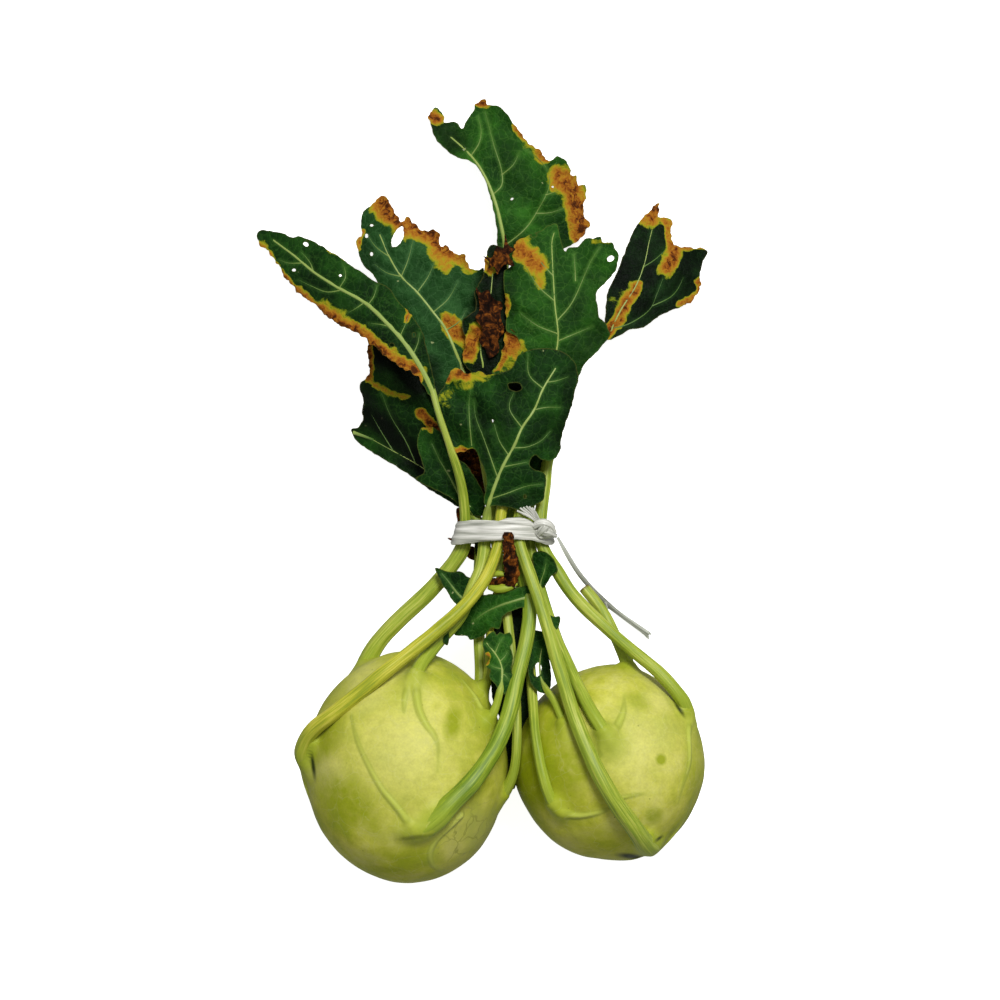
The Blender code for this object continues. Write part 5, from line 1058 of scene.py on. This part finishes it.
# Painted shade: the blade is painted darker still along these lines, where it lies in shadow.
shades = [([(55, 88), (57, 80), (63, 74)], 7, 0.7), ([(66, 98), (66, 86)], 5, 0.7),
    ([(82, 92), (80, 84)], 5, 0.5)]
leaf("leaf_far_right", stalk, rib, (0.4, 0.15), outline, heights, (0.9, 19, 0.8), SHADED_LEAF, veins=veins,
    holes=[hole((57.6, 99), 0.5, 0.4)], dry=dry, shades=shades, fade=0.75)


# Lower left leaf
# From behind the left stem: a dark blade low down at the left, with a lobe folded over it, and
# a dry yellow and brown upper rim.
stalk = [(-1, -73.2, 37.5, 2.4), (-1.6, -59.6, 35.5, 2.2), (-2, -40, 34, 2.2), (-1.2, -24, 33, 2.2),
    (-1.6, -14, 32.5, 2.2), (-5, -7.5, 31.5, 1.8)]
rib = [(-10, -2), (-18, 5), (-27, 11), (-36, 16), (-45, 21)]
outline = [(-46.4, 59.6), (-46, 51.6), (-46.4, 46), (-49.2, 43.6), (-49.6, 40.8), (-48, 36.8),
    (-48.8, 32.4), (-48.4, 29.2), (-50.4, 25.6), (-53.2, 24.8), (-51.6, 20.8), (-47.2, 17.2), (-39.2, 12.4),
    (-33.2, 8.8), (-26.8, 4.4), (-21.2, 0.4), (-14.4, -3.6), (-9, -6.5), (-6.5, -2), (-9, 8), (-12.5, 20),
    (-17, 32), (-21, 42), (-27, 52), (-36, 60), (-43, 62)]
heights = [(-9, -4, 31), (-27, 11, 21), (-45, 21, 9), (-53, 24, 4), (-39, 12, 16), (-20, 0, 28),
    (-46, 58, 17), (-49, 42, 14), (-36, 46, 22), (-20, 34, 26), (-14, 12, 28.5), (-34, 30, 21),
    (-28, 50, 24), (-40, 61, 18)]
veins = [[(-27, 11), (-31, 20), (-37, 30), (-41, 40)], [(-36, 16), (-41, 24), (-45, 31)]]
dry = [([(-43.6, 42.6), (-38, 39.6), (-31, 38)], 2.0, 0.55),
    ([(-46, 58), (-45.4, 50), (-45.4, 45)], 2.0, 1.0),
    ([(-24.8, 31.2), (-20.8, 27), (-17, 22.8)], 2.2, 0.9)]
lobe_outline = [(-8.2, -7.2), (-14, -2), (-26.8, 4.4), (-23.6, 8), (-26.4, 18.4), (-24, 25.2),
    (-16.8, 23.6), (-11.2, 14), (-6.7, 10.6), (-2.2, 3.8), (0.4, -2), (0.4, -9), (-3.3, -10)]
lobe_rib = [(-5, -6.5), (-8.5, -3), (-13, 5), (-17, 12), (-20.5, 19)]
lobe_heights = [(-7, -6, 33.6), (-14, 3, 36), (-26, 5, 33.5), (-25, 20, 34), (-17, 22, 37.2), (-10, 6, 36),
    (-3, 3, 37), (0, -8, 36.5)]
# Painted shade: broad bands of the blade, its lobe and the shred are painted nearly black where they lie in
# shadow under the other leaves.
shades = [([(-51, 31), (-43, 28), (-35, 20), (-27, 12), (-22, 8)], 8.5, 1.0),
    ([(-43, 56), (-34, 50), (-26, 42)], 8, 1.0), ([(-47, 42), (-49, 34)], 4, 0.8),
    ([(-10, 0), (-14, 14), (-20, 26)], 5, 0.8)]
lobes = [lobe(lobe_outline, lobe_rib, lobe_heights, [([(-24, 25.4), (-21, 25)], 1.6, 0.7)],
        [([(-4, 2), (-12, 12)], 4, 0.4)])]
shred_outline = [(-3, -20.5), (2.6, -20.5), (2.8, -27), (0.4, -28.4), (-2.6, -26.6)]
shred = flap(shred_outline, [(-3, -21, 35.6), (2.6, -21, 35.6), (0, -28, 35.4)],
    shades=[([(0, -20), (0, -28)], 6, 0.4)])
surface = leaf("leaf_low_left", stalk, rib, (0.28, 0.15), outline, heights, (0.8, 16, 0.5), DARK_LEAF,
    veins=veins, dry=dry, shades=shades, lobes=lobes, flaps=[shred], fade=0.7)
pale_rim = vein_part([(-52.2, 23.6), (-48, 22.2), (-44, 20.6)], surface, 0.9, 0.5, fade=0.0)
piece("leaf_low_left_rim", [pale_rim], GREEN_STALK, "leaf_low_left")


# Withered leaf
# From the left of the right stem: a leaf that has died and crumpled between the others, brown
# and folded, with one green strip left. Scraps and crumbs of it fill the gaps beside the front leaf
# and at the tie.
def withered_tissue(name):
    """Dead leaf: brittle, crumpled, painted nearly black as shade in its folds and rusty where it sticks
    out.
    """
    made, tree, place = start_material(name)
    # Folds are 2 to 5 mm apart and their rust colour breaks up over less than a millimetre.
    folds = add_node(tree, "TexNoise",
        {"Scale": 1 / 3.5, "Detail": 6.0, "Roughness": 0.68, "Distortion": 1.2}, {"Vector": place})
    # Painted shade: the same noise that raises the folds paints their hollows nearly black.
    colour = add_node(tree, "ValToRGB",
        {"stops": [(0.36, "#0C0603"), (0.48, "#2A1408"), (0.58, "#65360F"), (0.68, "#A8661F")]},
        {"Fac": folds})
    bump = add_node(tree, "Bump", {"Strength": 1.0, "Distance": 0.6 * MM}, {"Height": folds})
    shader = add_node(tree, "BsdfPrincipled", {"Roughness": 0.8, "Specular IOR Level": 0.06},
        {"Base Color": colour, "Normal": bump})
    add_node(tree, "OutputMaterial", links={"Surface": shader})
    return made


WITHERED = withered_tissue("withered_leaf_tissue")
stalk = [(24.2, -114.5, 63.5, 2.2), (21.2, -98.8, 60.5, 2.0), (20, -84, 52, 2.0), (19, -70, 42.5, 2.0),
    (17.6, -56, 36.5, 2.0), (15, -38, 32, 2.1), (12.4, -22, 30.8, 2.2), (11.6, -12, 30, 2.2),
    (8, 2, 28, 2.1), (3, 22, 28, 1.9), (0.6, 38, 31, 1.5)]
rib = [(0, 50), (-1, 58), (1, 68), (3, 78), (4, 88), (5.5, 94)]
outline = [(-3, 46), (-8, 52), (-7, 60), (-8.4, 68), (-3, 73), (-3.4, 80), (0, 86), (0.8, 93), (3, 98.4),
    (9, 97), (9.8, 92), (9.2, 86), (9.8, 78), (9.8, 68), (10.2, 60), (9, 50), (4, 44)]
heights = [(0, 47, 34), (-7, 56, 33.2), (6, 58, 34), (0, 70, 34), (-3, 78, 33), (6, 84, 32.5),
    (1, 92, 31.5), (8, 96, 30)]
dry = [([(-6.5, 54), (-5, 59), (-2, 64)], 4.6, 0.9), ([(0, 92), (3, 88)], 3.0, 0.7)]
# Painted shade: the blade and the flap under the stalks are painted darker along these lines, where they
# lie in shadow.
shades = [([(8, 90), (3, 84), (4, 70), (3, 56), (0, 48)], 6, 0.7)]
under_outline = [(6.5, -40), (16, -40), (17.5, -52), (17.5, -62), (16, -72), (9.5, -70), (4.6, -60),
    (4, -50)]
under_heights = [(6, -42, 35), (15, -42, 36), (16, -54, 38.4), (13, -70, 39), (5, -56, 37)]
under = flap(under_outline, under_heights, shades=[([(9, -40), (11, -72)], 9, 0.55)], crumple=1.6)
# The withered blade uses the shaded leaf, painted dark throughout as shade.
leaf("leaf_withered", stalk, rib, (0.45, 0.2), outline, heights, (1.0, 9, 0.3), SHADED_LEAF, dry=dry,
    shades=shades, crumple=1.8, flaps=[under], fade=0.6)
scrap_outline = [(-11.6, 15.6), (-4, 18.5), (5, 19), (7, 8), (6, -3), (-1, -3.5), (-4.5, 3), (-8, 9)]
scrap_heights = [(-7, 12, 29), (-4, 18, 29.4), (5, 19, 29.4), (6, -3, 29.4), (-1, -3, 29.2), (0, 8, 29.4)]
scrap_surface = blade_surface([(8, 2), (3, 22)], scrap_heights, (0.2, 9, 0.3), ())
all_dry = [([(0, -6), (0, 20)], 30, 1.0)]
scrap = blade_part(scrap_outline, scrap_surface, dry=all_dry, crumple=1.6)
fold_outline = [(-3.4, 83), (-1.2, 79.5), (2.2, 80.4), (4, 77.2), (7.8, 75), (7, 70), (8.6, 64), (6, 60.8),
    (6.4, 56), (2.6, 53.2), (0.8, 57), (-1.8, 60), (-0.2, 65), (-3, 69), (-1.2, 74)]
fold_heights = [(-3, 80, 35.4), (7, 72, 36.4), (6, 56, 36.4), (0, 60, 35.6), (2, 68, 37)]
fold = flap(fold_outline, fold_heights, crumple=3.5)
tip_outline = [(-0.6, 94.6), (3.4, 93.4), (5.4, 98.2), (8, 97), (8.8, 102.8), (10.4, 98.2), (13, 96.8),
    (10.4, 94.2), (12.8, 90), (8.4, 90.6), (5.6, 86.4), (4.6, 90), (1.6, 88.6), (2.6, 91.6)]
tip_heights = [(1, 92, 34), (9, 102, 35), (12, 93, 36.6), (6, 88, 36), (7, 94, 37.4)]
crumpled_tip = flap(tip_outline, tip_heights, crumple=2.0)
crumbs = [flap([(-10.6, -7), (-7, -7.6), (-6.8, -13), (-9.8, -13.8)],
        [(-10, -8, 34), (-7, -8, 34), (-8, -14, 34)], crumple=1.5),
    flap([(-14.2, -18.8), (-10.6, -19.4), (-10.4, -20.8), (-12.4, -20)],
        [(-14, -19, 36), (-11, -20, 36), (-12, -19, 36)]),
    flap([(-7, -22.6), (-2.8, -22.8), (-3, -27.6), (-6.6, -26.2)],
        [(-7, -23, 33), (-3, -23, 33), (-4, -27, 33)], crumple=1.5)]
piece("leaf_withered_scrap", [scrap, fold, crumpled_tip, *crumbs], WITHERED, "leaf_withered")


# Trimmed stalk behind
# From the middle of the right stem, its own blade cut off behind the front leaf. It keeps a small
# dark lobe under the knot, a torn bit further down and a dark scrap of blade at its end.
TRIMMED_BEHIND = [(43.2, -87.8, 68.5, 2.6), (39.3, -80.5, 63, 2.5), (35.2, -72, 56.5, 2.4),
    (29, -58, 48.5, 2.3), (24, -42.8, 41.5, 2.2), (20, -28, 36.5, 2.2), (18.4, -16, 34.8, 2.2),
    (18.6, -4, 34, 2.1), (19.5, 8, 32.5, 2.1)]
behind_stalk = stalk_part(FEET["stalk_trimmed_behind"] + TRIMMED_BEHIND)
lobe_outline = [(20.4, -24.5), (26, -24.8), (30, -31.2), (27.2, -34.4), (23.6, -39), (20.8, -34),
    (19.8, -29)]
lobe_rib = [(22.8, -39), (23.4, -35.5), (24.5, -32.5), (25.6, -27)]
lobe_heights = [(20.5, -26, 42.4), (26, -25, 44.6), (30, -31, 45), (23.6, -38.5, 42.6), (20.6, -34, 41.6)]
behind_lobe = lobe(lobe_outline, lobe_rib, lobe_heights)
behind_rib = vein_part(lobe_rib, behind_lobe[1], 0.55, 0.15, sink=0.5)
piece("stalk_trimmed_behind_skin", [behind_stalk, behind_rib], GREEN_STALK, "stalk_trimmed_behind")
scrap_outline = [(16.5, 4), (21.5, 3), (25.4, 9), (26.4, 16), (25.5, 24), (20, 27), (16.5, 20), (16.2, 12)]
scrap_heights = [(17, 4, 34), (22, 8, 34), (24, 20, 34), (20, 27, 33.6), (17, 16, 34)]
scrap_surface = blade_surface([(19, 6), (20.5, 25)], scrap_heights, (0.2, 9, 0.3), ())
scrap = blade_part(scrap_outline, scrap_surface)
bit_outline = [(25.6, -49.4), (28.4, -50.2), (30.8, -50.2), (30.2, -54.4), (27.6, -55.2)]
bit = flap(bit_outline, [(26, -50, 48.4), (31, -51, 49), (28, -55, 49.4)])
piece("stalk_trimmed_behind_blade", [behind_lobe[2], scrap, bit], DARK_LEAF, "stalk_trimmed_behind")


# Small leaves
# Three young leaves between the stems: a crinkled bright one, a dark one on a thin stalk, and a
# withered one whose crumpled blade lies over the ribbon, beside its own cut stub.
stalk = [(5.6, -84.4, 57.4, 1.6), (7, -79, 57.6, 1.4)]
rib = [(7.4, -76.5), (7.6, -71), (6, -66.5), (1.4, -60.6)]
outline = [(-0.2, -60.6), (1.6, -57.6), (4.4, -56), (5.4, -57.4), (6.8, -56.2), (8.8, -57.2), (10.8, -56.6),
    (12, -60), (10.8, -62), (11.6, -64.2), (12, -68), (11.4, -71), (12, -74), (11, -77), (9, -81),
    (7.6, -80.4), (4.4, -76.6), (2.6, -74), (3, -71.6), (1.6, -70), (2.4, -66.4), (0.6, -64)]
heights = [(7.5, -80, 58.2), (6.5, -70, 56.5), (3, -60, 53), (11, -58, 51.6), (11.6, -72, 55.6),
    (1.4, -66, 53)]
veins = [[(7.6, -71), (4.8, -70.4), (3, -69.4)], [(6.8, -68), (8.8, -66), (9.8, -64)],
    [(5, -64.4), (6.4, -61), (8, -58.4)], [(7.6, -73), (9, -73.6), (10, -75)]]
leaf("small_leaf_crinkled", stalk, rib, (0.6, 0.25), outline, heights, (1.4, 7, 0.0), BRIGHT_LEAF,
    veins=veins, dry=[([(1, -69), (1.6, -66)], 1.6, 0.8)], crumple=1.6)

stalk = [(28.5, -84, 59.5, 1.4), (25.2, -79, 54.5, 1.3)]
rib = [(23.4, -75.5), (22.6, -70), (23.4, -63)]
outline = [(19.6, -56), (24.4, -56.4), (26.4, -61), (26.6, -68), (27.4, -75), (25.6, -80.5), (21, -79.4),
    (18.2, -74), (17.8, -66), (18.6, -60)]
heights = [(25, -79, 53.5), (22.8, -70, 49.5), (23, -58, 45), (26.5, -68, 48), (21.2, -66, 47.6)]
leaf("small_leaf_dark", stalk, rib, (0.5, 0.2), outline, heights, (0.4, 9, 0.0), DARK_LEAF,
    holes=[hole((21.8, -71.4), 2.8, 1.5, 80)])

stalk = FEET["small_leaf_withered"] + [(2.6, -64, 40.6, 1.7), (3.2, -50, 40.6, 1.7),
    (5.6, -41.5, 41.4, 1.8), (8.4, -36.5, 45.0, 2.1)]
lower_fold = [(2.2, -38.4, 44.6, 1.0), (6, -39.2, 45.8, 1.6), (10.4, -38.4, 46.3, 1.5),
    (13.6, -36.8, 46, 0.8)]
upper_fold = [(2.8, -34.2, 45, 0.8), (5.4, -33, 46, 1.3), (8.6, -33.2, 46.5, 1.0)]
stub_parts = [stalk_part(route) for route in (stalk, lower_fold, upper_fold)]
piece("small_leaf_withered_stalk", stub_parts, YELLOW_STALK, "small_leaf_withered")


def crumpled_roll(route, thin, depth, seed):
    """A rolled and crumpled strip along (x, y, z, half width)."""
    line = even_steps(smooth_line(route), 0.5)
    turn = np.arange(40) * 2 * math.pi / 40
    shares = np.linspace(0, 1, len(line))

    def section(share):
        half = np.interp(share, shares, line[:, 3])
        return np.column_stack([half * np.cos(turn), thin * half * np.sin(turn)])

    points, faces, _ = sweep(line, section)
    centre = np.repeat(line[:, :3], len(turn), axis=0)
    outward = points - centre
    outward /= np.linalg.norm(outward, axis=1)[:, None]
    push = depth * (wobble(points, 2.4, seed) + 0.6 * wobble(points, 1.1, seed))
    return points + outward * push[:, None], faces, {}


body = [(10.2, -37.6, 46.8, 2.2), (11.4, -34, 48, 3.0), (11, -29, 49.2, 2.9), (10.6, -24, 50, 2.7),
    (10.2, -19.4, 50.6, 2.2), (10.2, -16.4, 50.6, 1.6)]
dark_core = [(2.2, -36.4, 44.2, 1.0), (6, -36, 45.4, 1.6), (10, -35.6, 46, 1.6)]
rolls = [crumpled_roll(body, 0.5, 0.8, 2.0), crumpled_roll(dark_core, 0.8, 0.5, 5.0)]
piece("small_leaf_withered_blade", rolls, WITHERED, "small_leaf_withered")


# Tie
# The same film wound twice round the stalks and pulled flat, creased lengthwise. Its ends meet in
# a hard knot at the right, where the short end stands out as a frayed fan.
TIE_Y = -16.5
BAND_LOOP = [(-12, 36.5), (-10, 41), (-3, 44.6), (3.5, 47.8), (9, 48.4), (15, 47.7), (20.5, 44.8),
    (26, 41.6), (27.2, 37), (22, 32), (16, 28.2), (11, 27), (3.5, 28.6), (-4, 29.6), (-10.4, 32)]
UPPER_EDGE = [(-12, -12.2), (-5.6, -11.6), (1.2, -11.6), (6.4, -12), (9.6, -10.8), (14.4, -10.4),
    (18.4, -11.6), (21, -13.6), (27, -14)]
LOWER_EDGE = [(-12, -21.8), (-10.8, -21.6), (-2, -20.4), (6.8, -19.6), (13, -19.2), (19.6, -19.6),
    (25.6, -21.6)]
OVERLAP_EDGE = [(2, -11), (6.4, -12.6), (13, -13.4), (19.6, -14.2), (25.6, -17.6)]
BAND_SAMPLES = 34
BAND_STEP = 0.7
BAND_FILM = 0.75
band_line = smooth_line([(x, TIE_Y, z) for x, z in BAND_LOOP], closed=True, samples=12)
band_line = even_steps(np.vstack([band_line, band_line[:1]]), BAND_STEP)[:-1]
band_run = np.arange(len(band_line)) * BAND_STEP


def band_section(share):
    """The band's section: its creased outer face, and back along its smooth inner face."""
    i = round(share * (len(band_line) - 1))
    x, _, z = band_line[i]
    top = min(1.0, max(0.0, (z - 33) / 8))
    high = top * np.interp(x, *zip(*UPPER_EDGE)) + (1 - top) * -12.2
    low = top * np.interp(x, *zip(*LOWER_EDGE)) + (1 - top) * -21.2
    across = np.linspace(low, high, BAND_SAMPLES)
    creases = [noise.noise(Vector((a * 0.62, band_run[i] / 13, 0))) for a in across]
    fine = [noise.noise(Vector((a * 2.1, band_run[i] / 11, 5))) for a in across]
    rim = np.minimum(across - low, high - across)
    lift = 0.25 + BAND_FILM * np.clip(rim / 0.5, 0.35, 1) + 0.5 * np.array(creases) + 0.14 * np.array(fine)
    if x > 2 and z > 38:
        lift += 0.4 * np.clip((across - np.interp(x, *zip(*OVERLAP_EDGE))) / 0.3, 0, 1)
    outer = np.column_stack([across - TIE_Y, np.maximum(lift, 0.35)])
    inner = np.column_stack([across[::-1] - TIE_Y, np.full(BAND_SAMPLES, 0.1)])
    return np.vstack([outer, inner])


band_points, band_faces, _ = sweep(band_line, band_section, closed=True)
# The left turn leans with the stalk inside it.
left = np.clip(-band_points[:, 0] / 9, 0, 1)
band_points[:, 0] += left * 2.6 * np.clip((band_points[:, 1] + 21) / 9, 0, 1)
band_grain = np.column_stack(
    [band_points[:, 1], np.zeros(len(band_points)), np.repeat(band_run, 2 * BAND_SAMPLES) / FIBRE_DRAW])
piece("tie_band", [(band_points, band_faces, {"grain": band_grain})], FILM, "tie")

# A turn of the knot is its thickness as a share of its width, and its route.
KNOT_TURNS = [(0.8, [(20.4, -14.2, 46, 1.3), (23.2, -12.8, 47.4, 1.9), (26.4, -13.8, 46.8, 1.7),
        (28.6, -16.8, 44.4, 1.1)]),
    (0.75, [(22.2, -17.6, 45.4, 1.2), (24.2, -15.2, 47.8, 1.7), (26.4, -12.4, 46, 1.2)]),
    (0.8, [(22.8, -16, 46.6, 1.3), (25.8, -16.6, 47, 1.6), (29.4, -18, 43.8, 0.7)]),
    (0.7, [(21, -15.8, 45.8, 0.9), (23.4, -17.8, 45.6, 1.2), (27.2, -17.6, 44.2, 1.0)])]
knot = [film_strand(route, thin, seed) for seed, (thin, route) in enumerate(KNOT_TURNS, 1)]
FAN_ENDS = [(13.6, -7.8), (14.8, -6.8), (16, -6.5), (17.2, -6.1), (18.4, -6.2), (19.6, -6.6), (20.4, -7.6)]
for k, (x, y) in enumerate(FAN_ENDS):
    lean = 0.5 * math.sin(5 * k)
    root = (22.4 + 0.12 * k, -13.2, 47, 0.3)
    bend = ((x + 22.4) / 2 + 0.5, (y - 12.8) / 2 + lean * 0.4, 48.6 + 0.3 * lean, 0.42)
    tip = (x, y, 49.6 + 0.5 * lean, 0.34)
    knot.append(film_strand([root, bend, tip], 0.35, k, step=0.5))
piece("tie_knot", knot, FILM, "tie")


# Floor and light
# A white table top under a white sky of soft light, with one large soft lamp from the upper right.
# The table glows a little, so that the shadows on it stay faint.
FLOOR_HALF_SIZE = 30.0
FLOOR_DROP = 0.0002

floor_mesh = bpy.data.meshes.new("floor")
floor_corners = [(x * FLOOR_HALF_SIZE, y * FLOOR_HALF_SIZE, -FLOOR_DROP)
    for x, y in ((-1, -1), (1, -1), (1, 1), (-1, 1))]
floor_mesh.from_pydata(floor_corners, [], [(0, 1, 2, 3)])
floor = bpy.data.objects.new("floor", floor_mesh)
bpy.context.scene.collection.objects.link(floor)
floor.visible_diffuse = False
floor.visible_glossy = False
table_white, table_tree, _ = start_material("white_table")
table_shader = add_node(table_tree, "BsdfPrincipled",
    {"Base Color": srgb("#F4F4F2"), "Roughness": 0.8, "Emission Color": srgb("#FFFFFF"),
        "Emission Strength": 0.86})
add_node(table_tree, "OutputMaterial", links={"Surface": table_shader})
floor_mesh.materials.append(table_white)

world = bpy.data.worlds.new("soft_white")
bpy.context.scene.world = world
world.use_nodes = True
sky = world.node_tree.nodes["Background"]
sky.inputs["Color"].default_value = (1.0, 1.0, 1.0, 1.0)
sky.inputs["Strength"].default_value = 0.33

lamp_data = bpy.data.lights.new("lamp", "SUN")
lamp_data.energy = 2.75
lamp_data.angle = math.radians(20)
lamp = bpy.data.objects.new("lamp", lamp_data)
lamp.rotation_euler = (math.radians(-29), math.radians(12), 0)
bpy.context.scene.collection.objects.link(lamp)

bpy.context.scene.view_settings.view_transform = "Standard"
